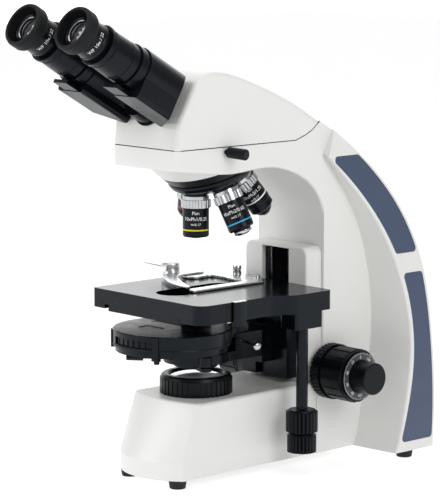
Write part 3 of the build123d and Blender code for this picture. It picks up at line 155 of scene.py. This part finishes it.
# Stage plate: hard anodised and finely blasted, broad soft reflections
stage_coat = surface(
    "hard_anodised_stage_plate", "06090D", "04070A", 0.17, 0.02, 40, 0.4, 0.002, ior=1.32,
    specular_tint=linear("DDE9F6"),
)
# Glass-filled nylon knobs: black, moulded, slightly matt; also the black bars painted as shade in screw
# slots
nylon = surface(
    "moulded_black_nylon", "06080B", "040608", 0.34, 0.05, 18, 0.6, 0.012, ior=1.3,
    specular_tint=COOL_SHEEN,
)
# Nitrile rubber: matt black; also the black of the strips and bead painted as shade in gaps, grooves, slots
# and the head's joint
rubber = surface("moulded_nitrile_rubber", "0E0E0F", "0A0B0B", 0.65, 0.05, 12, 0.7, 0.03, ior=1.45)
# Soft-touch eyecup rubber: matt, black
cup_rubber = surface("moulded_eyecup_rubber", "0C0E11", "090B0D", 0.6, 0.06, 14, 0.8, 0.03, ior=1.33)
# Nickel and chrome on turned brass: bright, with faint lathe waviness
chrome = surface("chromed_turned_brass", "C6C8CA", "B4B6B9", 0.16, 0.05, 9, 0.4, 0.004, metallic=1.0)
# Bright nickel on spring steel, rolled and tumbled: silvery, soft reflections
spring_steel = surface(
    "nickelled_spring_steel", "E6E7E8", "DADBDD", 0.24, 0.06, 12, 0.5, 0.005, metallic=1.0,
)
# Ground steel shafts and rails: grey, faintly streaked gloss
ground_steel = surface("ground_steel", "A9ABAD", "96989B", 0.28, 0.06, 6, 0.3, 0.004, metallic=1.0)
# Zinc plated sheet steel: dull, cloudy grey
zinc_sheet = surface("zinc_plated_sheet", "B4B5B2", "9EA09E", 0.4, 0.1, 20, 1.5, 0.006, metallic=1.0)
# Extruded aluminium heat sink, bare: light grey, soft gloss
bare_aluminium = surface("extruded_aluminium", "BEC0C1", "AAACAE", 0.35, 0.06, 10, 0.5, 0.006, metallic=1.0)
# Dial of the fine focus: turned and grey anodised, satin
dial_grey = surface("grey_anodised_dial", "45494D", "3F4246", 0.35, 0.04, 12, 0.4, 0.004, ior=1.4)
# Paint filled into engraving: flat white
white_fill = surface("white_engraving_paint", "F2F2EE", "E6E6E2", 0.5, 0.03, 10, 0.3, 0.003, ior=1.5)
# Stoved enamel in the bands of the objectives: clear colours with some gloss
yellow_fill = surface("yellow_band_enamel", "E3D400", "D2C300", 0.35, 0.03, 8, 0.3, 0.003, ior=1.5)
blue_fill = surface("light_blue_band_enamel", "2FA3D6", "2693C6", 0.35, 0.03, 8, 0.3, 0.003, ior=1.5)
red_fill = surface("red_band_enamel", "B3202A", "A01820", 0.35, 0.03, 8, 0.3, 0.003, ior=1.5)
green_fill = surface("green_band_enamel", "2E9E58", "268C4C", 0.35, 0.03, 8, 0.3, 0.003, ior=1.5)
# Ground and polished crown glass with a magnesium fluoride coating: dark, with a sharp sheen
coated_glass = surface(
    "coated_crown_glass", "2B2827", "1E1B20", 0.04, 0.01, 18, 3.0, 0.001, ior=1.5, coat_weight=1.0,
    coat_roughness=0.03,
)
# Pressed glass over the lamp: glossy, its milky white colour a painted reflection of the bright
# surroundings
field_glass_painted_reflection = surface(
    "pressed_field_glass", "EEF1F1", "E2E7E8", 0.06, 0.02, 20, 4.0, 0.002, ior=1.52, coat_weight=1.0,
    coat_roughness=0.04,
)

finishes = {
    powder_coat: (
        "base_casting", "arm_casting", "beam_casting", "head_housing", "nosepiece_seat", "guide_cover",
    ),
    slate_abs: ("inlay_panels",),
    rubber: ("rubber_feet",),
    cup_rubber: ("eyecup_left", "eyecup_right"),
    zinc_sheet: ("base_plate",),
    ground_steel: ("coarse_pinion", "fine_shaft", "centring_screw_left", "centring_screw_right"),
    bare_aluminium: ("lamp_module",),
    coated_glass: ("eye_lens_left", "eye_lens_right"),
    field_glass_painted_reflection: ("field_lens",),
    chrome: ("objective_collars",),
    spring_steel: ("holder_finger", "specimen_holder"),
    stage_coat: ("stage_top", "stage_base"),
    nylon: (
        "field_ring", "brightness_knob", "power_inlet", "head_lock_screw", "coarse_knobs", "tension_ring",
        "fine_knobs", "y_drive_knob", "x_drive_knob", "condenser_knob", "phase_turret",
    ),
}


def finish_node(name, material):
    """Give a CAD node one material."""
    nodes[name].data.materials.clear()
    nodes[name].data.materials.append(material)


for name in nodes:
    finish_node(name, anodised)
for material, names in finishes.items():
    for name in names:
        finish_node(name, material)


def past_plane(tree, origin, axis, start):
    """One past a plane across an axis, at a distance in millimetres from a point; zero before it."""
    place = add(tree, "ShaderNodeTexCoord").outputs["Object"]
    reach = add(tree, "ShaderNodeVectorMath", {0: place}, {1: origin}, operation="SUBTRACT")
    depth = add(
        tree, "ShaderNodeVectorMath", {0: reach.outputs["Vector"]}, {1: axis}, operation="DOT_PRODUCT",
    )
    past = add(
        tree, "ShaderNodeMath", {0: depth.outputs["Value"]}, {1: start * MM}, operation="GREATER_THAN",
    )
    return past.outputs["Value"]


# The seat is painted like the beam down to its black ball race
seat_paint = surface("seat_paint_over_black_race", *PAINT, ior=1.5)
seat_tree = seat_paint.node_tree
seat_shader = next(n for n in seat_tree.nodes if n.type == "BSDF_PRINCIPLED")
race = add(seat_tree, "ShaderNodeMixRGB", {
    "Fac": past_plane(seat_tree, APEX, TURRET_AXIS, RACE_START),
    "Color1": seat_shader.inputs["Base Color"].links[0].from_socket,
}, {"Color2": linear("0C0E10")})
seat_tree.links.new(race.outputs["Color"], seat_shader.inputs["Base Color"])
finish_node("nosepiece_seat", seat_paint)


# Building

SHARP_ANGLE = math.radians(35)


def settle(bm, name, material, body, smooth=True):
    """Turn a finished bmesh into one piece that rides on a body."""
    bmesh.ops.remove_doubles(bm, verts=bm.verts, dist=POLE * MM)
    bmesh.ops.recalc_face_normals(bm, faces=bm.faces)
    mesh = bpy.data.meshes.new(name)
    bm.to_mesh(mesh)
    bm.free()
    for polygon in mesh.polygons:
        polygon.use_smooth = smooth
    piece = bpy.data.objects.new(name, mesh)
    bpy.context.scene.collection.objects.link(piece)
    piece.data.materials.append(material)
    if smooth:
        mesh.set_sharp_from_angle(angle=SHARP_ANGLE)
    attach(piece, body)
    return piece


def at(x, y, z):
    """Matrix that moves by millimetres."""
    return Matrix.Translation(Vector((x, y, z)) * MM)


def standing(origin, up, towards=None):
    """Matrix that takes local z along up and local x as near as it can towards a direction."""
    up = up.normalized()
    towards = towards or (Vector((1, 0, 0)) if abs(up.x) < 0.9 else Vector((0, 1, 0)))
    across = (towards - up * towards.dot(up)).normalized()
    return Matrix.Translation(origin) @ Matrix((across, up.cross(across), up)).transposed().to_4x4()


def spun(bm, corners, place, steps=72):
    """Turn a closed outline of (radius, height) corners, in millimetres, round local z."""
    verts = [bm.verts.new((r * MM, 0, h * MM)) for r, h in corners]
    edges = [bm.edges.new((verts[i - 1], verts[i])) for i in range(len(verts))]
    bmesh.ops.spin(
        bm, geom=verts + edges, cent=(0, 0, 0), axis=UP, dvec=(0, 0, 0), angle=math.tau, steps=steps,
        use_merge=True,
    )
    bmesh.ops.transform(bm, matrix=place, verts=[v for v in bm.verts if not v.tag])
    for v in bm.verts:
        v.tag = True


def turned(name, corners, place, material, body, steps=72):
    """One lathe-turned piece."""
    bm = bmesh.new()
    spun(bm, corners, place, steps)
    return settle(bm, name, material, body)


def block(bm, size, place):
    """Small plain box, for strips, ticks and lugs; size is in millimetres."""
    made = bmesh.ops.create_cube(bm, size=1, matrix=place @ Matrix.Diagonal((*[s * MM for s in size], 1)))
    for v in made["verts"]:
        v.tag = True


def blocks(name, boxes, material, body):
    """One piece of several (size, place) boxes."""
    bm = bmesh.new()
    for size, place in boxes:
        block(bm, size, place)
    return settle(bm, name, material, body, smooth=False)


def bevel(bm, edges, width, segments):
    """Round some edges by a width in millimetres."""
    bmesh.ops.bevel(
        bm, geom=edges, offset=width * MM, segments=segments, profile=0.5, affect="EDGES", material=-1,
    )


def fluted(bm, place, radius, low, high, flutes, depth):
    """Capped cylinder along local z with a groove every fourth edge; sizes are in millimetres."""
    steps = flutes * 4
    middle = place @ Matrix.Translation((0, 0, (low + high) / 2 * MM))
    made = bmesh.ops.create_cone(
        bm, cap_ends=True, segments=steps, radius1=radius * MM, radius2=radius * MM,
        depth=(high - low) * MM, matrix=middle,
    )
    home = middle.inverted()
    for v in made["verts"]:
        spot = home @ v.co
        if round(math.atan2(spot.y, spot.x) % math.tau / math.tau * steps) % 4 == 0:
            v.co = middle @ Vector((spot.x * (1 - depth / radius), spot.y * (1 - depth / radius), spot.z))
        v.tag = True


def from_curve(curve):
    """The mesh of a curve or text, as a bmesh; the curve is used up."""
    holder = bpy.data.objects.new(curve.name, curve)
    bpy.context.scene.collection.objects.link(holder)
    bpy.context.view_layer.update()
    mesh = bpy.data.meshes.new_from_object(holder.evaluated_get(bpy.context.evaluated_depsgraph_get()))
    bpy.data.objects.remove(holder)
    bpy.data.curves.remove(curve)
    bm = bmesh.new()
    bm.from_mesh(mesh)
    bpy.data.meshes.remove(mesh)
    return bm


FILL_DEPTH = 0.08                            # how far the paint in the engraving stands proud


def words(text, height, place, radius=None):
    """Mesh of raised figures; on a cylinder when a radius is given, all in millimetres."""
    curve = bpy.data.curves.new("figures", "FONT")
    curve.body = text
    curve.size = height * MM
    curve.align_x = "CENTER"
    curve.align_y = "CENTER"
    curve.extrude = FILL_DEPTH * MM / 2
    curve.resolution_u = 2
    bm = from_curve(curve)
    if radius:
        for v in bm.verts:
            turn = v.co.x / (radius * MM)
            reach = radius * MM + v.co.z
            v.co = Vector((reach * math.cos(turn), reach * math.sin(turn), v.co.y))
    bm.transform(place)
    mesh = bpy.data.meshes.new("figures")
    bm.to_mesh(mesh)
    bm.free()
    return mesh


def lettering(name, meshes, body):
    """One piece of several lines of figures, filled white."""
    bm = bmesh.new()
    for mesh in meshes:
        bm.from_mesh(mesh)
        bpy.data.meshes.remove(mesh)
    return settle(bm, name, white_fill, body, smooth=False)


# Objectives; lengths run down from the shoulder, in millimetres

def station(number):
    """Shoulder, downward axis and outward direction of one nosepiece station."""
    axis = Matrix.Rotation(math.tau * number / STATIONS, 3, TURRET_AXIS) @ DOWN
    outward = (axis - TURRET_AXIS * axis.dot(TURRET_AXIS)).normalized()
    return APEX + axis * TO_SHOULDER, axis, outward


FIGURE_RADIUS = 12.02
GRIP_START, GRIP_END = 4, 11
BAND_FROM_END = 6
# Station, end of the barrel, band, figures, end of the tip and its radius
objectives = {
    "10x": (0, 36.5, yellow_fill, "10xPh1/0.25", 39.0, 4.2),
    "4x": (1, 26.0, red_fill, "4x/0.10", 31.0, 7.8),
    "20x": (2, 36.5, green_fill, "20xPh1/0.40", 42.6, 5.0),
    "100x": (3, 30.5, white_fill, "100xPh3/1.25", 44.4, 4.0),
    "40x": (4, 37.0, blue_fill, "40xPh2/0.65", 43.8, 4.0),
}
collars = bmesh.new()
for power, (number, body_end, band, figures, tip, tip_radius) in objectives.items():
    shoulder, axis, outward = station(number)
    # Three of them turn their figures to the camera's side
    facing = CAMERA_SIDE if power in ("10x", "40x", "100x") else outward
    place = standing(shoulder, axis, facing)
    band_top = body_end - BAND_FROM_END
    band_end = band_top + 1.3
    turned(
        f"band_{power}", [(11.6, band_top), (12.06, band_top), (12.06, band_end), (11.6, band_end)], place,
        band, "nosepiece",
    )
    # Bright cell with the front lens in it
    turned(f"lens_cell_{power}", [
        (2.2, tip - 0.5), (tip_radius - 0.6, tip + 0.05), (tip_radius - 0.2, tip - 0.3),
        (tip_radius - 0.2, tip - 1.0), (2.2, tip - 1.0),
    ], place, chrome, "nosepiece", 48)
    turned(f"front_lens_{power}", [
        (POLE, tip - 0.35), (1.2, tip - 0.4), (2.25, tip - 0.7), (2.25, tip - 1.4), (POLE, tip - 1.4),
    ], place, coated_glass, "nosepiece", 32)
    # Wider cell of the two whose front is sprung
    if power in ("20x", "40x"):
        turned(f"front_cell_{power}", [
            (6.6, tip - 3.6), (8.35, tip - 3.6), (8.35, tip - 2), (7.8, tip - 1.2), (6.6, tip - 1.2),
        ], place, chrome, "nosepiece", 48)
    # Correction, magnification and aperture, tube and cover glass; upright with the objective pointing down
    upright = standing(shoulder, -axis, facing)
    middle = -(GRIP_END + 0.3 + band_top) / 2
    lettering(f"figures_{power}", [
        words(text, height, upright @ at(0, 0, middle + rise), FIGURE_RADIUS)
        for text, height, rise in (("Plan", 4.2, 5.4), (figures, 4.6, 0), ("∞/0.17", 3.2, -5))
    ], "nosepiece")
    # Plain chrome ring against the turret, then the fluted grip
    spun(collars, [
        (10.25, 0.1), (11.4, 0.1), (11.9, 0.6), (11.9, GRIP_START - 0.1), (10.25, GRIP_START - 0.1),
    ], place)
    fluted(collars, place, 13.5, GRIP_START, GRIP_END, 28, 0.55)
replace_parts(settle(collars, "objective_grips", chrome, "nosepiece"), "objective_collars")


# Eyepieces; lengths run up the tube from the head's face
TUBE_DROP = math.sqrt(HINGE_ARM ** 2 - TUBE_OFFSET ** 2)
EYEPIECE_FIGURES_AT = 120.2
EYEPIECE_RADIUS = 16.55
for side, side_name in ((-1, "left"), (1, "right")):
    foot = HEAD_ORIGIN + Vector((side * TUBE_OFFSET * MM, 0, 0)) + HEAD_UP * (TUBE_DROP * MM)
    place = standing(foot, TUBE_DIRECTION, (CAMERA_SIDE + HEAD_UP * 0.1).normalized())
    lettering(f"eyepiece_figures_{side_name}", [
        words("WF 10x / 22", 4.6, place @ at(0, 0, EYEPIECE_FIGURES_AT), EYEPIECE_RADIUS),
    ], f"{side_name}_eyepiece")
    # Bright inner edge of the lens seat
    turned(f"lens_rim_{side_name}", [
        (10.3, 131.9), (11.0, 131.9), (11.3, 132.9), (10.9, 133.1), (10.3, 132.7),
    ], place, chrome, f"{side_name}_eyepiece")


# Dials of the fine focus: a hundred divisions, numbered every tenth
DIVISIONS = 100
TICK_RADIUS = 22.0
NUMBER_RADIUS = 17.7
TICK_HEIGHT = 0.06
for side, side_name in ((-1, "left"), (1, "right")):
    outward = Vector((side, 0, 0))
    place = standing(KNOB_CENTRE + outward * DIAL_FROM_CENTRE, outward, UP)
    turned(f"dial_face_{side_name}", [
        (15.6, -0.3), (22.2, -0.3), (22.2, 0), (21.9, 0.03), (15.6, 0.03),
    ], place, dial_grey, "fine_drive", 96)
    ticks = []
    numbers = []
    for step in range(DIVISIONS):
        spot = place @ Matrix.Rotation(math.tau * step / DIVISIONS, 4, "Z")
        length = 2.2 if step % 10 == 0 else (1.7 if step % 5 == 0 else 1.1)
        ticks.append(((length, 0.22, 0.1), spot @ at(TICK_RADIUS - length / 2, 0, TICK_HEIGHT)))
        if step % 10 == 0:
            upright = spot @ at(NUMBER_RADIUS, 0, TICK_HEIGHT) @ Matrix.Rotation(-math.pi / 2, 4, "Z")
            numbers.append(words(str(step * 2), 3.8, upright))
    blocks(f"dial_ticks_{side_name}", ticks, white_fill, "fine_drive")
    lettering(f"dial_figures_{side_name}", numbers, "fine_drive")


# Screws

def screw(name, origin, up, radius, height, body, material=chrome):
    """Pan head screw with a black bar across its crown, painted as the shade in its slot; the sizes are in
    millimetres.
    """
    place = standing(Vector(origin) * MM, up)
    turned(name, [
        (POLE, 0), (radius, 0), (radius, height * 0.55), (radius * 0.92, height * 0.85),
        (radius * 0.7, height), (POLE, height),
    ], place, material, body, 32)
    turn = Matrix.Rotation(math.radians(30), 4, "Z")
    # Black bar painted as the shade in the slot
    slot = (radius * 1.5, radius * 0.28, 0.25)
    blocks(name + "_drive", [(slot, place @ turn @ at(0, 0, height))], nylon, body)


HOLDER_TOP = 172.65
for index, (x, y) in enumerate(((-34, -31), (34, -31), (-34, 141), (34, 141))):
    screw(f"plate_screw_{index}", (x, y, 8.2), DOWN, 2.6, 1.2, "stand", ground_steel)
screw("holder_screw", (-4, 80, HOLDER_TOP), UP, 3.0, 2.2, "holder")
turned("holder_clamp_screw", [
    (POLE, 0), (4.1, 0), (4.1, 3), (3.6, 3.4), (3.6, 4.4), (4.1, 4.8), (4.1, 8), (3.7, 8.6), (POLE, 8.6),
], at(-30, 79, HOLDER_TOP), chrome, "holder", 40)

# Black bead in the joint between the head and the beam, half sunk in it, painted as the shadow line of the
# seam
BEAD_RADIUS = 0.6 * MM
SUNK = 0.4 * MM
BEAM_LOW, BEAM_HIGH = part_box("beam_casting")
HALF_WIDTH = BEAM_HIGH.x - SUNK
NOSE_Y = BEAM_LOW.y + SUNK
SEAM_Z = 304.35
NOSE_CORNER = 5 * MM
CORNER_STEPS = 6
half = [
    Vector((HALF_WIDTH, y * MM, z * MM))
    for y, z in ((113.6, 319.8), (104.1, 312.6), (95.1, 308.3), (83, SEAM_Z))
]
for step in range(CORNER_STEPS + 1):
    turn = math.pi / 2 * step / CORNER_STEPS
    half.append(Vector((
        HALF_WIDTH - NOSE_CORNER * (1 - math.cos(turn)),
        NOSE_Y + NOSE_CORNER * (1 - math.sin(turn)),
        SEAM_Z * MM,
    )))
path = half + [Vector((-p.x, p.y, p.z)) for p in reversed(half)]
curve = bpy.data.curves.new("head_joint_shadow_bead", "CURVE")
curve.dimensions = "3D"
curve.bevel_depth = BEAD_RADIUS
curve.bevel_resolution = 2
curve.use_fill_caps = True
spline = curve.splines.new("POLY")
spline.points.add(len(path) - 1)
for point, spot in zip(spline.points, path):
    point.co = (*spot, 1)
settle(from_curve(curve), "head_joint_shadow_bead", rubber, "stand")


# Specimen holder: stamped plate with a lobe and an arm, and the sprung finger with its domed button

def plate(name, outline, low, thick, body):
    """Flat steel plate with a smooth outline of (x, y, rounded) points in millimetres."""
    edge = 0.25
    curve = bpy.data.curves.new(name, "CURVE")
    curve.dimensions = "2D"
    curve.fill_mode = "BOTH"
    curve.extrude = (thick / 2 - edge) * MM
    curve.bevel_depth = edge * MM
    curve.bevel_resolution = 1
    spline = curve.splines.new("BEZIER")
    spline.bezier_points.add(len(outline) - 1)
    spline.use_cyclic_u = True
    spline.resolution_u = 8
    for point, (x, y, rounded) in zip(spline.bezier_points, outline):
        point.co = (x * MM, y * MM, 0)
        point.handle_left_type = point.handle_right_type = "AUTO" if rounded else "VECTOR"
    bm = from_curve(curve)
    bmesh.ops.translate(bm, vec=(0, 0, (low + thick / 2) * MM), verts=bm.verts)
    return settle(bm, name, spring_steel, body)


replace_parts(plate("holder_plate", [
    (-70, 86, True), (-77, 70, True), (-74, 50, True), (-62, 38, True), (-50, 36, True), (-44, 44, True),
    (-44, 58, True), (-34, 61, True), (-16, 58, True), (2.4, 57, False), (3, 50, False), (3, -10, False),
    (7, -14, False), (12, -14, False), (14, -10, False), (14, 70, False), (6, 79, False), (-6, 86, False),
], 170.35, 2.3, "holder"), "specimen_holder")
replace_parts(plate("finger_blade", [
    (-70, 62, True), (-79, 46, True), (-74, 26, True), (-42, 1, True), (-8, -13, True), (2, -13.4, False),
    (1.6, -9, False), (-27, 6, True), (-54, 29, True), (-55, 46, True), (-58, 62, True),
], 172.95, 1.6, "finger"), "holder_finger")
BUTTON = Vector((-73.5, 34, 174.5)) * MM
turned("finger_button", [
    (POLE, 0), (8.6, 0), (8.8, 0.4), (8.8, 6.2), (8.5, 6.5), (8.5, 6.9), (9, 7.3), (8.8, 8.5), (7.8, 9.4),
    (5, 9.9), (POLE, 10),
], Matrix.Translation(BUTTON), spring_steel, "finger", 64)
bm = bmesh.new()
wire_from = BUTTON + Vector((-5.5, -6, 5.5)) * MM
wire_to = BUTTON + Vector((-17, -18, 9)) * MM
bmesh.ops.create_cone(
    bm, cap_ends=True, segments=12, radius1=0.8 * MM, radius2=0.5 * MM, depth=(wire_to - wire_from).length,
    matrix=standing((wire_from + wire_to) / 2, wire_to - wire_from),
)
settle(bm, "finger_wire", spring_steel, "finger")

# Guide window: steel rail against the black slide
blocks("guide_rail_strip", [((5, 1.6, 40), at(-13, 106, 178))], ground_steel, "stand")

# Side bracket of the stage, rounded on its outer edges, with a bright steel cap painted as the highlight on
# its lit top, and a black strip painted as the shade of the gap before it
BRACKET_X, BRACKET_Y = 74, -15
BRACKET_HEIGHT = 22
bm = bmesh.new()
block(bm, (5, 15, BRACKET_HEIGHT), at(BRACKET_X, BRACKET_Y, 159.2))
bevel(bm, [
    edge for edge in bm.edges
    if abs(edge.verts[0].co.z - edge.verts[1].co.z) > BRACKET_HEIGHT / 2 * MM
    and edge.verts[0].co.x > BRACKET_X * MM
], 2, 4)
settle(bm, "stage_side_bracket", stage_coat, "stage")
blocks("bracket_highlight_cap", [((4.2, 14, 0.6), at(BRACKET_X, BRACKET_Y, 170.4))], spring_steel, "stage")
blocks("bracket_gap_shade", [((0.3, 5, 17), at(72.1, -25.5, 161.2))], rubber, "stage")

# Thin black strips painted as the shade in the long groove of the stage's front cover
FRONT_Y = -59.05
blocks("stage_front_groove_shade", [
    ((118, 0.3, 0.9), at(-4, FRONT_Y, 159.3)),
    ((0.9, 0.3, 5), at(-62.6, FRONT_Y, 156.8)),
    ((0.9, 0.3, 5), at(54.6, FRONT_Y, 156.8)),
], rubber, "stage")

# Thin black strips painted as the shade in the slots in the lid of the condenser
SLOT_WIDTH = 1.8
SLOT_HEIGHT = 0.3
SLOT_OVERLAP = 1.6
LID_Z = 139.6
slots = []
for corners in (
    ((-18.8, -51.1), (-20.3, -41.4), (0.9, -40.7)), ((-34.8, -22.8), (-31.1, -18.8), (11.7, -17.8)),
):
    for one, other in zip(corners, corners[1:]):
        start, end = (Vector((*corner, LID_Z)) * MM for corner in (one, other))
        run = end - start
        slots.append((
            (SLOT_WIDTH, SLOT_HEIGHT, run.length / MM + SLOT_OVERLAP),
            standing((start + end) / 2, run, run.cross(UP)),
        ))
blocks("condenser_lid_slot_shade", slots, rubber, "condenser")

# Lug on the carrier beside the drum, low enough to pass under the stage
bm = bmesh.new()
block(bm, (5, 22, 13), at(20.5, 33.5, 132.6))
bevel(bm, bm.edges[:], 1, 2)
settle(bm, "carrier_lug", anodised, "condenser")

# Centring screws: shank and a turned ball
for side, side_name in ((-1, "left"), (1, "right")):
    ball = turned(f"screw_ball_{side_name}", [
        (POLE, -6), (1.5, -6), (1.5, 33.6), (2.6, 34.2), (3.5, 35.4), (3.9, 37), (3.9, 38), (3.4, 39.4),
        (2.2, 40.3), (POLE, 40.5),
    ], standing(Vector((side * 24, 31, 124)) * MM, Vector((side * 0.955, -0.296, 0))), chrome,
        f"screw_{side_name}", 40)
    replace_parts(ball, f"centring_screw_{side_name}")

# Bead round the foot of the drum, and the brackets at the ends of its window
turned("drum_bead", [
    (53.6, 126.2), (54.35, 126.2), (54.5, 126.5), (54.35, 127), (53.6, 127),
], Matrix.Translation(DRUM), anodised, "condenser", 160)
brackets = []
for bearing, reach, width, low, high in (
    (231, 53.2, 7, 122.5, 138.6), (303, 53.6, 5.5, 121.5, 138.6), (303, 51, 4, 114.5, 121.5),
):
    turn = math.radians(bearing)
    away = Vector((math.cos(turn), math.sin(turn), 0))
    middle = DRUM + (away * reach + UP * (low + high) / 2) * MM
    brackets.append(((4.4, width, high - low), standing(middle, UP, away)))
blocks("drum_brackets", brackets, anodised, "condenser")

# Field lens: thick glass that stands nearly flush with its ring
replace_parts(turned("field_lens_glass", [
    (POLE, 84.2), (20, 84.2), (20, 88.8), (23.6, 90.2), (23.6, 91.8), (20, 92.8), (14, 93.7), (7, 94.2),
    (POLE, 94.4),
], Matrix.Identity(4), field_glass_painted_reflection, "stand", 96), "field_lens")

# Coaxial stage knobs, the upper one wider, with a neck between them
CROWN = 1.7
NECK_RADIUS, NECK_TOP = 9, 40.2
for name, body, radius, low, high in (
    ("upper_stage_knob", "y_drive", 14.7, 40.5, 59), ("lower_stage_knob", "x_drive", 13.4, 21.5, 37),
):
    crown = high + CROWN
    bm = bmesh.new()
    fluted(bm, COLUMN, radius, low, high, 24, 1.1)
    spun(bm, [
        (POLE, high), (radius - 1.6, high), (radius - 1.8, high + 1), (radius - 2.6, crown), (POLE, crown),
    ], COLUMN)
    if body == "x_drive":
        spun(bm, [(POLE, crown), (NECK_RADIUS, crown), (NECK_RADIUS, NECK_TOP), (POLE, NECK_TOP)], COLUMN)
    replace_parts(settle(bm, name, nylon, body), f"{body}_knob")

# Floor: matt white board, a little self-lit so that it meets the backdrop without a line
floor_mesh = bpy.data.meshes.new("floor")
bm = bmesh.new()
bmesh.ops.create_grid(bm, x_segments=1, y_segments=1, size=6)
bm.to_mesh(floor_mesh)
bm.free()
floor = bpy.data.objects.new("floor", floor_mesh)
bpy.context.scene.collection.objects.link(floor)
floor.data.materials.append(surface(
    "matt_white_board", "BCBCBC", "B8B8B8", 0.8, 0.02, 300, 4.0, 0.01,
    emission_color=linear("FFFFFF"), emission_strength=0.7,
))
floor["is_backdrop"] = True

# Backdrop: plain white to the eye, bright behind the object and dimmer on the camera's side
AMBIENT_BEHIND = 1.7
AMBIENT_BEFORE = 0.36
world = bpy.data.worlds.new("studio")
bpy.context.scene.world = world
world.use_nodes = True
sky = world.node_tree
sky.nodes.clear()
outlook = add(sky, "ShaderNodeTexCoord").outputs["Generated"]
ahead = add(sky, "ShaderNodeVectorMath", {0: outlook}, {1: -CAMERA_SIDE}, operation="DOT_PRODUCT")
ambient = add(
    sky, "ShaderNodeMapRange", {"Value": ahead.outputs["Value"]},
    {"From Min": 0.6, "From Max": 0.97, "To Min": AMBIENT_BEFORE, "To Max": AMBIENT_BEHIND},
)
seen = add(sky, "ShaderNodeLightPath").outputs["Is Camera Ray"]
level = add(sky, "ShaderNodeMath", {0: ambient.outputs["Result"], 1: seen}, operation="MAXIMUM")
backdrop = add(
    sky, "ShaderNodeBackground", {"Strength": level.outputs["Value"]}, {"Color": linear("FFFFFF")},
)
add(sky, "ShaderNodeOutputWorld", {"Surface": backdrop.outputs["Background"]})


AIM = Vector((0, 0.05, 0.2))


def softbox(name, spot, size, power):
    """Square area light aimed at the middle of the microscope."""
    light = bpy.data.lights.new(name, "AREA")
    light.size = size
    light.energy = power
    lamp = bpy.data.objects.new(name, light)
    lamp.location = spot
    lamp.rotation_euler = (AIM - Vector(spot)).to_track_quat("-Z", "Y").to_euler()
    bpy.context.scene.collection.objects.link(lamp)


softbox("key", (-1.0, -1.8, 1.6), 1.7, 33)
softbox("fill", (1.8, -0.2, 1.1), 1.0, 13)
softbox("top", (0.1, 0.2, 2.2), 1.8, 14)

scene = bpy.context.scene
scene.view_settings.view_transform = "Standard"
camera = bpy.data.cameras.new("camera")
camera.sensor_width = SENSOR_WIDTH
camera.lens = SENSOR_WIDTH * FOCAL_PIXELS / LONG_SIDE_PIXELS
eye = bpy.data.objects.new("camera", camera)
eye.location = CAMERA_AT
back = CAMERA_SIDE * math.cos(CAMERA_ELEVATION) + UP * math.sin(CAMERA_ELEVATION)
eye.rotation_euler = (-back).to_track_quat("-Z", "Y").to_euler()
scene.collection.objects.link(eye)
scene.camera = eye

low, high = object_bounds()
